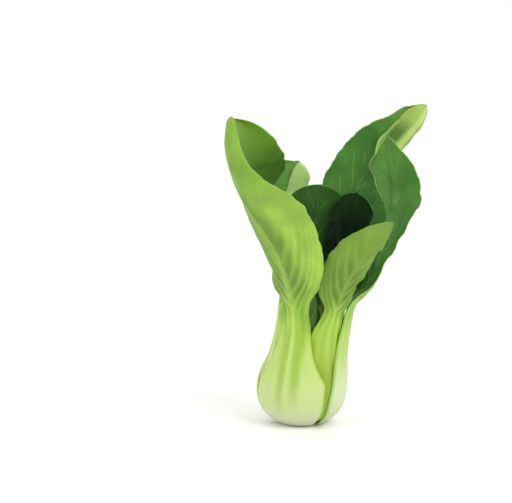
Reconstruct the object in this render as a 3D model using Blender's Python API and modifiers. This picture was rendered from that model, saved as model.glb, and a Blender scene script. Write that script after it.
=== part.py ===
"""A head of Shanghai bok choy, standing on its cut stem end.

The head is a short stem plate with three whorls of leaves and two heart leaves around it.  Each leaf is a
thick pale stalk and a thin waved blade that grew as one piece.  Lengths in the tables are millimetres and
angles are degrees; azimuths run from +X (right) towards +Y (back).
"""
import math
import bpy
import numpy as np

MM = 0.001

# Driving dimensions of the head
GAP = 0.45            # air between two leaves that lie against each other
STALK_EDGE = 1.1      # thickness of a stalk at its two margins
STEM_FOOT = 12.0      # radius of the cut face of the stem
STEM_TOP = 20.0       # height of the stem plate inside the head
STEM_SIDES = 32       # facets round the stem

# Outside of the head: (height, radius)
BELLY = ((0.4, 13.6), (3, 17.8), (8, 23.4), (13, 26), (20, 27.4), (26, 27.4), (33, 26.4), (40, 24.9),
         (55, 23.4), (71, 23.3), (95, 24))
# The head leans to the right as it rises: (height, shift)
LEAN = ((0, 0), (20, 0), (33, 1.5), (40, 3), (55, 6), (71, 8.7), (95, 12.5))
# Outside of the stem plate: (height, radius)
CORE = ((0, 12), (1.5, 12), (4, 10.6), (8, 7.4), (13, 4.2), (19, 1.6))

# Thickness down the middle of a stalk: (height, thickness), by whorl
STALK_WALL = {
    1: ((0.4, 2), (4, 4.4), (12, 6.4), (25, 6.4), (45, 5.4), (71, 4.6)),
    2: ((3.5, 2), (7, 3.6), (14, 5), (25, 5.2), (45, 4.6), (71, 4)),
    3: ((6, 1.6), (10, 2.6), (18, 3.6), (30, 3.8), (60, 3.2)),
    4: ((9, 1.4), (14, 2), (25, 2.4), (45, 2.2)),
}
# Depth of the grooves along a stalk: (station, depth).  A station is 0 at the base, 1 at the neck and 2 at
# the tip.
RIBBED = ((0, 0), (0.25, 0), (0.5, 0.3), (0.85, 0.55), (1.1, 0.5), (1.3, 0.2), (1.5, 0))
PLAIN = ((0, 0), (2, 0))

# One entry a leaf.  azimuth, half_angle: (height, degrees) of the stalk.  spine: points of the midrib above
# the neck.  left, right: (station, half width) seen from outside.  cup: how far each half bends inwards.
# roll: extra curl of the margin between the shares roll_start and roll_end of the half width.  twist: turn
# of the blade about its midrib.  keel, keel_half: height and half width of the midrib.  waves: (height,
# length, phase, sharpness) along the margins.
LEAVES = [
    # Largest leaf: arches left, its blade folded like a boat
    dict(name="outer_leaf_front_left", whorl=1, base=0.5, neck=71, inset=0,
         azimuth=((0, 247), (26, 247), (45, 241), (55, 239), (63, 236), (71, 232), (90, 231)),
         half_angle=((0, 50), (13, 53), (26, 53), (33, 46), (41, 38), (55, 29), (63, 27), (71, 25),
                     (90, 29)),
         spine=((-8.5, -23, 88), (-16.5, -29, 110), (-32, -33, 134), (-42.5, -31, 157),
                (-43.8, -25, 174), (-42, -18, 186)),
         left=((1, 11), (1.045, 12), (1.08, 19), (1.18, 21), (1.28, 31), (1.42, 42), (1.52, 48.5),
               (1.6, 49.5), (1.68, 44.5), (1.76, 38.5), (1.87, 34), (2, 31)),
         right=((1, 10), (1.04, 12), (1.1, 18), (1.25, 26.5), (1.4, 30.5), (1.52, 29.5), (1.62, 26),
                (1.75, 22), (1.88, 19), (2, 15)),
         cup_left=((1, 32), (1.1, 40), (1.25, 70), (1.45, 108), (1.62, 104), (1.75, 96), (1.87, 86), (2, 78)),
         cup_right=((1, 32), (1.1, 42), (1.25, 62), (1.4, 72), (1.6, 82), (1.75, 108), (1.88, 146),
                    (2, 156)),
         twist=((1, 0), (1.35, 0), (1.53, -18), (1.7, -52), (1.8, -72), (1.88, -86), (2, -104)),
         keel=((1, 3.5), (1.2, 2.6), (1.5, 1.6), (1.8, 0.8), (2, 0.3)),
         keel_half=((1, 12), (1.2, 9), (1.5, 5), (1.8, 2.6), (2, 1.6)),
         waves=((1.3, 34, 0.5, 2.5), (0.5, 15, 1.5, 5)),
         grooves=RIBBED, rib_count=5, rib_phase=0.3, scallop=0.009, scallop_step=11,
         lamina=0.8, tip=0.15, roll_start=0.7, grid=(28, 6, 23),
         colour=(0.33, 0.53, 0.1), roughness=0.42),
    # Turns its inner face to the front above the neck
    dict(name="outer_leaf_right", whorl=1, base=0.5, neck=71, inset=0,
         azimuth=((0, 2), (26, 1), (41, -4), (57, -8), (71, -8), (90, -8)),
         half_angle=((0, 52), (13, 55), (26, 51), (41, 44), (57, 37), (71, 31), (90, 30)),
         spine=((40.8, -2.2, 85), (48.6, 0, 103), (54, 3, 120), (55.6, 5.5, 136), (54.5, 6, 150),
                (52, 4, 163), (50.5, 1, 174)),
         left=((1, 11), (1.04, 11), (1.08, 13), (1.16, 11), (1.3, 8), (1.4, 9.5), (1.5, 14.5),
               (1.65, 20.5), (1.78, 20.5), (1.88, 15), (2, 8)),
         right=((1, 12), (1.1, 14), (1.25, 11), (1.4, 7.5), (1.52, 4.5), (1.59, 5), (1.66, 9.5), (1.75, 13.5),
                (1.85, 14), (1.93, 9), (2, 5)),
         cup_left=((1, 30), (1.2, 30), (1.4, 30), (2, 28)),
         cup_right=((1, 30), (1.2, 40), (1.5, 40), (2, 40)),
         roll_right=((1, 0), (1.5, 0), (1.65, 50), (1.85, 60), (2, 30)),
         twist=((0.95, 0), (1.05, 10), (1.15, 28), (1.3, 47), (1.5, 60), (1.7, 66), (2, 66)),
         keel=((1, 3.5), (1.2, 2.6), (1.5, 1.6), (1.8, 0.8), (2, 0.3)),
         keel_half=((1, 12), (1.2, 8), (1.5, 4.5), (1.8, 2.4), (2, 1.6)),
         waves=((0.9, 30, 2.5, 2.5), (0.45, 14, 0.5, 5)),
         grooves=RIBBED, rib_count=5, rib_phase=1, scallop=0.01, scallop_step=10,
         lamina=0.8, tip=0.2, roll_start=0.7, grid=(27, 5, 19),
         colour=(0.22, 0.42, 0.08), roughness=0.42),
    # Stands behind the front left leaf; one margin is rolled forward and shows its underside
    dict(name="outer_leaf_back_left", whorl=1, base=0.5, neck=71, inset=0,
         azimuth=((0, 127), (26, 127), (45, 128), (71, 128), (90, 128)),
         half_angle=((0, 51), (13, 53), (26, 52), (33, 47), (41, 39), (55, 31), (71, 30), (90, 32)),
         spine=((-7.5, 23, 88), (-10, 30, 110), (-9.5, 36, 130), (-5, 37, 144), (-1, 36, 155)),
         left=((1, 12), (1.1, 13.5), (1.3, 15), (1.5, 18.5), (1.7, 25), (1.85, 25), (2, 20)),
         right=((1, 12), (1.1, 13), (1.3, 14), (1.45, 17), (1.6, 21), (1.85, 23), (2, 22)),
         cup_left=((1, 32), (1.2, 36), (1.5, 38), (2, 38)),
         cup_right=((1, 32), (1.2, 36), (1.5, 40), (2, 40)),
         roll_left=((1, 0), (1.4, 10), (1.62, 140), (1.8, 165), (2, 165)),
         twist=((1, 0), (1.3, -10), (1.6, -24), (2, -30)),
         keel=((1, 3.5), (1.2, 2.6), (1.5, 1.6), (1.8, 0.8), (2, 0.3)),
         keel_half=((1, 12), (1.2, 9), (1.5, 5), (1.8, 2.6), (2, 1.6)),
         waves=((1.2, 32, 1.2, 2.5), (0.5, 15, 0.2, 5)),
         grooves=RIBBED, rib_count=5, rib_phase=2, scallop=0.01, scallop_step=11,
         lamina=0.8, tip=0.09, roll_start=0.3, roll_end=0.62, grid=(23, 5, 19),
         colour=(0.24, 0.45, 0.09), roughness=0.42),
    # Small pointed blade leaning right, in front of the others
    dict(name="second_leaf_front", whorl=2, base=4.6, neck=71, inset=0,
         azimuth=((0, 303), (26, 304), (41, 298), (58, 294), (71, 298), (90, 300)),
         half_angle=((0, 46), (13, 50), (26, 50), (41, 40), (58, 28), (71, 18), (90, 16)),
         spine=((23.5, -23.5, 84), (31, -26, 98), (42, -27, 113), (53, -23, 124.5)),
         left=((1, 7.5), (1.06, 10), (1.15, 14), (1.35, 18), (1.6, 16.5), (1.8, 12.5), (2, 8)),
         right=((1, 7), (1.1, 10.5), (1.35, 12), (1.6, 11), (2, 7)),
         cup_left=((1, 20), (1.2, 30), (1.6, 34), (2, 30)),
         cup_right=((1, 20), (1.2, 55), (1.6, 70), (2, 50)),
         twist=((1, 0), (1.3, -14), (2, -22)),
         keel=((1, 2.9), (1.2, 2.2), (1.5, 1.4), (1.8, 0.7), (2, 0.3)),
         keel_half=((1, 7.5), (1.2, 6), (1.5, 3.8), (1.8, 2.2), (2, 1.5)),
         waves=((0.7, 24, 0.3, 2.5), (0.4, 12, 1.5, 5)),
         grooves=RIBBED, rib_count=4, rib_phase=0, scallop=0.015, scallop_step=8.5,
         lamina=0.8, tip=0.45, roll_start=0.7, grid=(20, 6, 17),
         colour=(0.33, 0.53, 0.1), roughness=0.42),
    # Tallest leaf: one margin is rolled forward near the tip and shows its underside
    dict(name="second_leaf_back_right", whorl=2, base=4.6, neck=75, inset=0,
         azimuth=((0, 65), (26, 65), (45, 64), (75, 63), (92, 63)),
         half_angle=((0, 46), (13, 50), (26, 50), (41, 40), (58, 32), (75, 28), (92, 26)),
         spine=((20, 25, 97), (27, 31, 119), (35, 34, 140), (45.5, 34, 155), (57, 32, 168), (67, 29, 180),
                (76, 26, 190.5)),
         left=((1, 10), (1.15, 14), (1.25, 22), (1.35, 25.5), (1.45, 27.5), (1.6, 26.5), (1.8, 25),
               (1.93, 22), (2, 18)),
         right=((1, 10), (1.15, 14), (1.35, 19), (1.55, 22), (1.75, 20), (1.87, 12.5), (2, 6)),
         cup_left=((1, 28), (1.2, 34), (1.6, 20), (2, 20)),
         cup_right=((1, 28), (1.2, 34), (1.6, 30), (2, 30)),
         roll_left=((1, 0), (1.58, 0), (1.69, 120), (1.79, 168), (2, 170)),
         twist=((1, 0), (1.4, 15), (1.7, 20), (2, 20)),
         keel=((1, 2.9), (1.2, 2.2), (1.5, 1.4), (1.8, 0.8), (2, 0.3)),
         keel_half=((1, 10), (1.2, 7.5), (1.5, 4.4), (1.8, 2.4), (2, 1.5)),
         waves=((0.9, 34, 2, 2.5), (0.4, 14, 0.5, 5)),
         grooves=RIBBED, rib_count=4, rib_phase=1, scallop=0.01, scallop_step=10,
         lamina=0.8, tip=0.1, roll_start=0.2, roll_end=0.5, grid=(24, 5, 19),
         colour=(0.14, 0.31, 0.06), roughness=0.42),
    # Narrow leaf between the two left-hand outer leaves
    dict(name="second_leaf_left", whorl=2, base=4.6, neck=69, inset=0.4,
         azimuth=((0, 187), (26, 187), (45, 186), (69, 184), (85, 182)),
         half_angle=((0, 46), (13, 50), (26, 50), (41, 38), (58, 28), (69, 21), (85, 19)),
         spine=((-10.5, 0, 84), (-12, 2, 102), (-12.5, 4.5, 120), (-11, 6, 136)),
         left=((1, 8), (1.2, 8), (1.5, 9.5), (2, 9)),
         right=((1, 8), (1.2, 9), (1.5, 11), (2, 10)),
         cup_left=((1, 28), (1.2, 40), (1.6, 45), (2, 40)),
         cup_right=((1, 28), (1.2, 40), (1.6, 45), (2, 40)),
         twist=((1, 0), (1.4, -8), (2, -12)),
         keel=((1, 2.9), (1.2, 2.2), (1.5, 1.4), (1.8, 0.7), (2, 0.3)),
         keel_half=((1, 10), (1.2, 7.5), (1.5, 4.4), (1.8, 2.4), (2, 1.5)),
         waves=((0.7, 24, 2, 2.5), (0.35, 12, 0.5, 5)),
         grooves=RIBBED, rib_count=4, rib_phase=2, scallop=0.01, scallop_step=10,
         lamina=0.8, tip=0.45, roll_start=0.7, grid=(19, 5, 13),
         colour=(0.2, 0.4, 0.08), roughness=0.42),
    # Broad young leaf in the middle
    dict(name="third_leaf_back", whorl=3, base=7.5, neck=62, inset=0.8,
         azimuth=((0, 125), (26, 125), (45, 125), (62, 125), (80, 125)),
         half_angle=((0, 46), (13, 50), (26, 48), (41, 36), (55, 29), (62, 25), (80, 22)),
         spine=((0, 16, 80), (4, 19, 100), (8.5, 21.5, 122), (12, 22, 142.5)),
         left=((1, 8), (1.2, 11), (1.5, 20), (1.75, 24), (2, 23)),
         right=((1, 8), (1.2, 12), (1.5, 19), (1.75, 23), (2, 22)),
         cup_left=((1, 32), (1.2, 34), (1.6, 24), (2, 22)),
         cup_right=((1, 32), (1.2, 32), (1.6, 27), (2, 26)),
         twist=((1, 0), (1.3, -22), (2, -34)),
         keel=((1, 2.1), (1.2, 1.7), (1.5, 1.1), (1.8, 0.6), (2, 0.3)),
         keel_half=((1, 8), (1.2, 6), (1.5, 3.6), (1.8, 2.2), (2, 1.4)),
         waves=((0.6, 24, 2, 2.5), (0.3, 12, 0.5, 5)),
         grooves=PLAIN, rib_count=4, rib_phase=2, scallop=0.01, scallop_step=10,
         lamina=0.75, tip=0.26, roll_start=0.7, grid=(18, 6, 13),
         colour=(0.06, 0.19, 0.04), roughness=0.45),
    # Young leaf beside it, half behind the right-hand leaf
    dict(name="third_leaf_right", whorl=3, base=7.5, neck=62, inset=0.8,
         azimuth=((0, 6), (26, 5), (45, 2), (62, 1), (80, 1)),
         half_angle=((0, 46), (13, 50), (26, 48), (41, 36), (55, 27), (62, 23), (80, 20)),
         spine=((22.8, 6, 80), (25.2, 11.5, 100), (29.8, 15, 120), (34, 15, 138)),
         left=((1, 8), (1.2, 7.5), (1.5, 12), (1.8, 16), (2, 16)),
         right=((1, 8), (1.2, 10), (1.5, 13), (1.8, 13), (2, 12)),
         cup_left=((1, 30), (1.2, 40), (1.6, 40), (2, 36)),
         cup_right=((1, 30), (1.2, 40), (1.6, 40), (2, 36)),
         twist=((1, 0), (1.15, 20), (1.4, 58), (2, 70)),
         keel=((1, 2.1), (1.2, 1.7), (1.5, 1.1), (1.8, 0.6), (2, 0.3)),
         keel_half=((1, 8), (1.2, 6), (1.5, 3.6), (1.8, 2.2), (2, 1.4)),
         waves=((0.5, 24, 1, 2.5), (0.3, 12, 0.5, 5)),
         grooves=PLAIN, rib_count=4, rib_phase=2, scallop=0.01, scallop_step=10,
         lamina=0.75, tip=0.14, roll_start=0.7, grid=(18, 6, 13),
         colour=(0.05, 0.16, 0.035), roughness=0.45),
    # Short young leaf against the front left stalk
    dict(name="third_leaf_front", whorl=3, base=7.5, neck=55, inset=0.8,
         azimuth=((0, 245), (26, 245), (45, 242), (55, 240), (75, 240)),
         half_angle=((0, 46), (13, 48), (26, 46), (41, 36), (55, 30), (75, 28)),
         spine=((0.5, -13, 70), (0.5, -13, 82), (1.5, -12, 93)),
         left=((1, 7), (1.3, 9), (2, 9)),
         right=((1, 7), (1.3, 9), (2, 9)),
         cup_left=((1, 32), (1.3, 44), (2, 40)),
         cup_right=((1, 32), (1.3, 44), (2, 40)),
         twist=((1, 0), (2, 0)),
         keel=((1, 2.1), (1.3, 1.4), (2, 0.4)),
         keel_half=((1, 7), (1.3, 4), (2, 1.4)),
         waves=((0.3, 20, 2, 2.5),),
         grooves=PLAIN, rib_count=4, rib_phase=2, scallop=0, scallop_step=10,
         lamina=0.75, tip=0.7, roll_start=0.7, grid=(13, 4, 9),
         colour=(0.09, 0.24, 0.05), roughness=0.45),
    # Folded heart leaf
    dict(name="heart_leaf_large", whorl=4, base=10.5, neck=40, inset=3.2,
         azimuth=((0, 65), (42, 65), (60, 65)),
         half_angle=((0, 54), (20, 54), (42, 44), (60, 44)),
         spine=((9.5, 7, 56), (10, 5, 70)),
         left=((1, 7), (1.3, 7), (2, 6)),
         right=((1, 7), (1.3, 7), (2, 6)),
         cup_left=((1, 50), (1.3, 60), (2, 50)),
         cup_right=((1, 50), (1.3, 60), (2, 50)),
         twist=((1, 0), (2, 0)),
         keel=((1, 1.2), (1.3, 0.9), (2, 0.4)),
         keel_half=((1, 6), (1.3, 3.5), (2, 1.4)),
         waves=((0.2, 20, 2, 2.5),),
         grooves=PLAIN, rib_count=4, rib_phase=2, scallop=0, scallop_step=10,
         lamina=0.7, tip=0.8, roll_start=0.7, grid=(9, 4, 9),
         colour=(0.3, 0.46, 0.1), roughness=0.48),
    # Smallest heart leaf
    dict(name="heart_leaf_small", whorl=4, base=10.5, neck=34, inset=3.5,
         azimuth=((0, 235), (42, 235), (60, 235)),
         half_angle=((0, 58), (20, 58), (42, 48), (60, 48)),
         spine=((2.5, -5, 46), (4, -3.5, 57)),
         left=((1, 6), (1.3, 6), (2, 5)),
         right=((1, 6), (1.3, 6), (2, 5)),
         cup_left=((1, 50), (1.3, 60), (2, 50)),
         cup_right=((1, 50), (1.3, 60), (2, 50)),
         twist=((1, 0), (2, 0)),
         keel=((1, 1), (1.3, 0.8), (2, 0.4)),
         keel_half=((1, 5), (1.3, 3), (2, 1.4)),
         waves=((0.2, 20, 1, 2.5),),
         grooves=PLAIN, rib_count=4, rib_phase=2, scallop=0, scallop_step=10,
         lamina=0.7, tip=0.8, roll_start=0.7, grid=(9, 4, 9),
         colour=(0.38, 0.52, 0.14), roughness=0.48),
]


def smooth(low, high, x):
    """Soft step from 0 at low to 1 at high."""
    u = np.clip((np.asarray(x, float) - low) / (high - low), 0.0, 1.0)
    return u * u * (3.0 - 2.0 * u)


def spline(xs, ys, x):
    """Natural cubic spline through (xs, ys); ys may hold points."""
    xs = np.asarray(xs, float)
    ys = np.asarray(ys, float)
    n = len(xs)
    h = np.diff(xs)
    a = np.zeros((n, n))
    r = np.zeros((n,) + ys.shape[1:])
    a[0, 0] = 1.0
    a[-1, -1] = 1.0
    for i in range(1, n - 1):
        a[i, i - 1] = h[i - 1]
        a[i, i] = 2.0 * (h[i - 1] + h[i])
        a[i, i + 1] = h[i]
        r[i] = 6.0 * ((ys[i + 1] - ys[i]) / h[i] - (ys[i] - ys[i - 1]) / h[i - 1])
    m = np.linalg.solve(a, r)
    x = np.asarray(x, float)
    k = np.clip(np.searchsorted(xs, x) - 1, 0, n - 2)
    t = np.clip(x, xs[0], xs[-1]) - xs[k]
    hk = h[k]
    if ys.ndim > 1:
        t = t[..., None]
        hk = hk[..., None]
    slope = (ys[k + 1] - ys[k]) / hk - hk * (2.0 * m[k] + m[k + 1]) / 6.0
    return ys[k] + slope * t + m[k] * t * t / 2.0 + (m[k + 1] - m[k]) * t ** 3 / (6.0 * hk)


def profile(table, x):
    """Smooth curve through a table of (x, y) pairs that never overshoots them."""
    xs = np.array([p[0] for p in table], float)
    ys = np.array([p[1] for p in table], float)
    h = np.diff(xs)
    d = np.diff(ys) / h
    m = np.zeros(len(xs))
    for i in range(1, len(xs) - 1):
        if d[i - 1] * d[i] > 0.0:
            w1 = 2.0 * h[i] + h[i - 1]
            w2 = h[i] + 2.0 * h[i - 1]
            m[i] = (w1 + w2) / (w1 / d[i - 1] + w2 / d[i])
    m[0] = d[0]
    m[-1] = d[-1]
    xc = np.clip(np.asarray(x, float), xs[0], xs[-1])
    k = np.clip(np.searchsorted(xs, xc) - 1, 0, len(xs) - 2)
    t = (xc - xs[k]) / h[k]
    start = ys[k] * (1.0 + 2.0 * t) * (1.0 - t) ** 2 + m[k] * h[k] * t * (1.0 - t) ** 2
    end = ys[k + 1] * t * t * (3.0 - 2.0 * t) + m[k + 1] * h[k] * t * t * (t - 1.0)
    return start + end


def table_spline(table, x):
    t = np.array(table, float)
    return spline(t[:, 0], t[:, 1], x)


def unit(v):
    return v / np.maximum(np.linalg.norm(v, axis=-1, keepdims=True), 1e-9)


def turn_between(a, b):
    """Signed angle from b to a, in degrees."""
    return (np.asarray(a, float) - b + 180.0) % 360.0 - 180.0


# Packing of the stalks: each whorl lies against the inside of the whorl round it

EDGE_FADE = 1.3       # a stalk's thickness has run out at this multiple of its half angle


def stalk_wall(leaf, z, across):
    """Thickness of a stalk at height z; across is 0 in its middle and 1 at its margins."""
    mid = profile(STALK_WALL[leaf["whorl"]], z)
    a = np.abs(across)
    inside = STALK_EDGE + (mid - STALK_EDGE) * np.clip(1.0 - a * a, 0.0, 1.0)
    return np.where(a <= 1.0, inside, STALK_EDGE * (1.0 - smooth(1.0, EDGE_FADE, a)))


def whorl_depth(whorl, angle, z):
    """Thickness that a whorl takes up at an angle and height."""
    depth = np.zeros(np.broadcast(angle, z).shape)
    for leaf in LEAVES:
        if leaf["whorl"] == whorl:
            across = turn_between(angle, profile(leaf["azimuth"], z)) / profile(leaf["half_angle"], z)
            depth = np.maximum(depth, stalk_wall(leaf, z, across))
    return depth


def whorl_radius(leaf, angle, z):
    """Outer radius of a leaf's whorl at an angle and height."""
    r = table_spline(BELLY, z) - leaf["inset"] + 0.0 * angle
    for whorl in range(1, leaf["whorl"]):
        r = r - whorl_depth(whorl, angle, z) - GAP
    return r


def ring_points(r, angle, z):
    rad = np.radians(angle)
    return np.stack([table_spline(LEAN, z) + r * np.cos(rad), r * np.sin(rad), z], -1)


# Midrib of a leaf

STALK_POINTS = 9
DENSE = 600


def midrib(leaf):
    """Points along the middle of a leaf with their stations, arc lengths, directions and outward normals."""
    zs = np.linspace(leaf["base"], leaf["neck"], STALK_POINTS)
    az = profile(leaf["azimuth"], zs)
    stalk = ring_points(whorl_radius(leaf, az, zs), az, zs)
    pts = np.vstack([stalk, np.array(leaf["spine"], float)])
    steps = np.linalg.norm(np.diff(pts, axis=0), axis=1) ** 0.8
    par = np.concatenate([[0.0], np.cumsum(steps)])
    dense = np.linspace(0.0, par[-1], DENSE)
    m = spline(par, pts, dense)
    arc = np.concatenate([[0.0], np.cumsum(np.linalg.norm(np.diff(m, axis=0), axis=1))])
    arc_neck = np.interp(par[STALK_POINTS - 1], dense, arc)
    above = 1.0 + (arc - arc_neck) / (arc[-1] - arc_neck)
    station = np.where(arc < arc_neck, arc / arc_neck, above)
    along = unit(np.gradient(m, arc, axis=0))
    start = int(np.argmin(np.abs(station - 1.0)))
    a0 = math.radians(float(profile(leaf["azimuth"], leaf["neck"])))
    out0 = np.array([math.cos(a0), math.sin(a0), 0.0])
    normal = np.zeros_like(m)
    normal[start] = unit(out0 - along[start] * np.dot(out0, along[start]))
    for i in range(start + 1, DENSE):
        normal[i] = unit(normal[i - 1] - along[i] * np.dot(normal[i - 1], along[i]))
    for i in range(start - 1, -1, -1):
        normal[i] = unit(normal[i + 1] - along[i] * np.dot(normal[i + 1], along[i]))
    return dict(station=station, m=m, along=along, normal=normal, arc=arc)


def stations(leaf, rib, body_rows, tip_rows):
    """Rows from base to tip, evenly spaced on the leaf and closer together where the tip is rounded."""
    first = 2.0 - leaf["tip"]
    arc_end = np.interp(first, rib["station"], rib["arc"])
    body = np.interp(np.linspace(0.0, arc_end, body_rows, endpoint=False), rib["arc"], rib["station"])
    k = np.arange(0, tip_rows + 1) / float(tip_rows)
    return np.concatenate([body, first + leaf["tip"] * np.sin(0.47 * math.pi * k)])


# The two faces of a leaf

CUP_STEPS = 60
NO_ROLL = ((1.0, 0.0), (2.0, 0.0))


def stalk_grooves(leaf, station, t):
    """Depth of the grooves between the lengthwise ribs on the outside of a stalk."""
    wave = t * leaf["rib_count"] * math.pi + leaf["rib_phase"] + 0.5 * np.sin(2.3 * t + station)
    return profile(leaf["grooves"], station) * (0.5 - 0.5 * np.cos(wave)) * smooth(1.0, 0.8, np.abs(t))


def rows_at(rib, key, station):
    return np.stack([np.interp(station, rib["station"], rib[key][:, i]) for i in range(3)], 1)


def half_section(leaf, side, station, arc, blade, stalk_half, radius, round_off):
    """Half width, bend angle and the section's run and drop for one half of the blade."""
    name = "left" if side < 0 else "right"
    width = (1.0 - blade) * stalk_half + blade * profile(leaf[name], station)
    phase = 4.0 if side < 0 else 1.3
    ripple = np.sin(arc * 2.0 * math.pi / leaf["scallop_step"] + phase)
    width = width * round_off * (1.0 + leaf["scallop"] * blade * ripple)
    cup = (1.0 - blade) * stalk_half / radius + blade * np.radians(profile(leaf["cup_" + name], station))
    roll = blade * np.radians(profile(leaf.get("roll_" + name, NO_ROLL), station))
    u = np.linspace(0.0, 1.0, CUP_STEPS + 1)
    curl = smooth(leaf["roll_start"], leaf.get("roll_end", 1.0), u)
    bend = cup[:, None] * u[None] + roll[:, None] * curl[None]
    zero = np.zeros((len(station), 1))
    run = np.concatenate([zero, np.cumsum((np.cos(bend[:, 1:]) + np.cos(bend[:, :-1])) * 0.5, 1)], 1)
    drop = np.concatenate([zero, np.cumsum((np.sin(bend[:, 1:]) + np.sin(bend[:, :-1])) * 0.5, 1)], 1)
    return width, bend, run / CUP_STEPS, drop / CUP_STEPS


def leaf_faces(leaf, rib, station, t):
    """Outer and inner face of a leaf: rows at the stations, columns across from margin to margin."""
    nr, nc = len(station), len(t)
    m = rows_at(rib, "m", station)
    along = unit(rows_at(rib, "along", station))
    n0 = rows_at(rib, "normal", station)
    n0 = unit(n0 - along * np.sum(n0 * along, 1, keepdims=True))
    arc = np.interp(station, rib["station"], rib["arc"])
    turn = np.radians(profile(leaf["twist"], station))[:, None]
    normal = n0 * np.cos(turn) + np.cross(along, n0) * np.sin(turn)
    across = np.cross(along, normal)

    z_top = leaf["neck"] + 12.0
    z = np.where(station > 1.3, z_top, np.minimum(m[:, 2], z_top))
    az = profile(leaf["azimuth"], z)
    half = profile(leaf["half_angle"], z)
    radius = whorl_radius(leaf, az, z)
    stalk_half = np.radians(half) * radius
    blade = smooth(0.97, 1.12, station)
    free_share = smooth(0.80, 1.10, station)[:, None, None]
    end = np.clip((station - (2.0 - leaf["tip"])) / leaf["tip"], 0.0, 1.0)
    round_off = np.sqrt(np.maximum(1.0 - end * end, 0.0))

    run = np.zeros((nr, nc))
    drop = np.zeros((nr, nc))
    bend = np.zeros((nr, nc))
    w = np.zeros((nr, nc))
    side = np.where(t >= 0.0, 1.0, -1.0)
    for s in (-1.0, 1.0):
        width, b_all, r_all, d_all = half_section(leaf, s, station, arc, blade, stalk_half, radius, round_off)
        for j in np.where(side == s)[0]:
            u = abs(t[j])
            k = min(int(u * CUP_STEPS), CUP_STEPS - 1)
            f = u * CUP_STEPS - k
            run[:, j] = width * (r_all[:, k] * (1.0 - f) + r_all[:, k + 1] * f) * s
            drop[:, j] = width * (d_all[:, k] * (1.0 - f) + d_all[:, k + 1] * f)
            bend[:, j] = (b_all[:, k] * (1.0 - f) + b_all[:, k + 1] * f) * s
            w[:, j] = width * u * s
    free = m[:, None] + across[:, None] * run[..., None] - normal[:, None] * drop[..., None]
    outward = normal[:, None] * np.cos(bend)[..., None] + across[:, None] * np.sin(bend)[..., None]
    wave = np.zeros((nr, nc))
    for height, length, phase, power in leaf["waves"]:
        ph = arc[:, None] * (2.0 * math.pi / length) + phase + 0.6 * t[None]
        wave = wave + height * (np.abs(t) ** power)[None] * np.sin(ph)
    fade = (smooth(1.05, 1.3, station) * (0.25 + 0.75 * round_off))[:, None]
    free = free + outward * (wave * fade)[..., None]

    angle = az[:, None] + np.degrees(w / radius[:, None])
    height = z[:, None] + 0.0 * angle
    grooves = stalk_grooves(leaf, station[:, None], t[None])
    full = whorl_radius(leaf, angle, height)
    spread = np.clip(np.degrees(w / radius[:, None]) / half[:, None], -1.0, 1.0)
    room = full - profile(CORE, height) - GAP
    stalk_out = ring_points(full - grooves, angle, height)
    stalk_in = ring_points(full - np.minimum(stalk_wall(leaf, height, spread), room), angle, height)

    true_normal = np.cross(np.gradient(free, axis=1), np.gradient(free, axis=0))
    flip = np.sign(np.sum(true_normal * outward, 2, keepdims=True))
    true_normal = unit(true_normal) * np.where(flip == 0.0, 1.0, flip)
    bl = blade[:, None]
    keel_half = (1.0 - bl) * stalk_half[:, None] + bl * profile(leaf["keel_half"], station)[:, None]
    hump = (1.0 - np.clip(np.abs(w) / keel_half, 0.0, 1.0) ** 2) ** (1.0 + 0.8 * bl)
    stalk_mid = profile(STALK_WALL[leaf["whorl"]], z)[:, None] - STALK_EDGE
    keel = ((1.0 - bl) * stalk_mid + bl * profile(leaf["keel"], station)[:, None]) * hump
    thin = (1.0 - bl) * STALK_EDGE + bl * leaf["lamina"]
    raised = 0.55 * bl
    free_out = free + true_normal * (keel * raised - grooves)[..., None]
    free_in = free - true_normal * (thin + keel * (1.0 - raised))[..., None]
    outer = (1.0 - free_share) * stalk_out + free_share * free_out
    inner = (1.0 - free_share) * stalk_in + free_share * free_in
    return outer, inner


def shell_faces(nr, nc):
    """Triangles of a closed shell from two grids; both grids are split along the same diagonals."""
    back = nr * nc
    faces = []
    for i in range(nr - 1):
        for j in range(nc - 1):
            a = i * nc + j
            b = a + 1
            d = a + nc
            c = d + 1
            if 2 * j + 1 < nc:
                halves = ((a, b, d), (b, c, d))
            else:
                halves = ((a, b, c), (a, c, d))
            for p, q, s in halves:
                faces.append((p, q, s))
                faces.append((back + p, back + s, back + q))
    for i in range(nr - 1):
        a = i * nc
        d = a + nc
        faces += [(a, d, back + d), (a, back + d, back + a)]
        b = a + nc - 1
        c = b + nc
        faces += [(b, back + c, c), (b, back + b, back + c)]
    for j in range(nc - 1):
        a = j
        b = j + 1
        faces += [(a, back + b, b), (a, back + a, back + b)]
        d = (nr - 1) * nc + j
        c = d + 1
        faces += [(d, c, back + c), (d, back + c, back + d)]
    return faces


# Objects

def material(name, colour, roughness):
    mat = bpy.data.materials.new(name)
    mat.use_nodes = True
    shader = mat.node_tree.nodes["Principled BSDF"]
    shader.inputs["Base Color"].default_value = (*colour, 1.0)
    shader.inputs["Roughness"].default_value = roughness
    shader.inputs["Metallic"].default_value = 0.0
    return mat


def add_object(collection, name, verts, edges, faces, mat):
    mesh = bpy.data.meshes.new(name)
    mesh.from_pydata([tuple(float(c) * MM for c in v) for v in verts], edges, faces)
    mesh.materials.append(mat)
    for poly in mesh.polygons:
        poly.use_smooth = True
    obj = bpy.data.objects.new(name, mesh)
    collection.objects.link(obj)
    return obj


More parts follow.
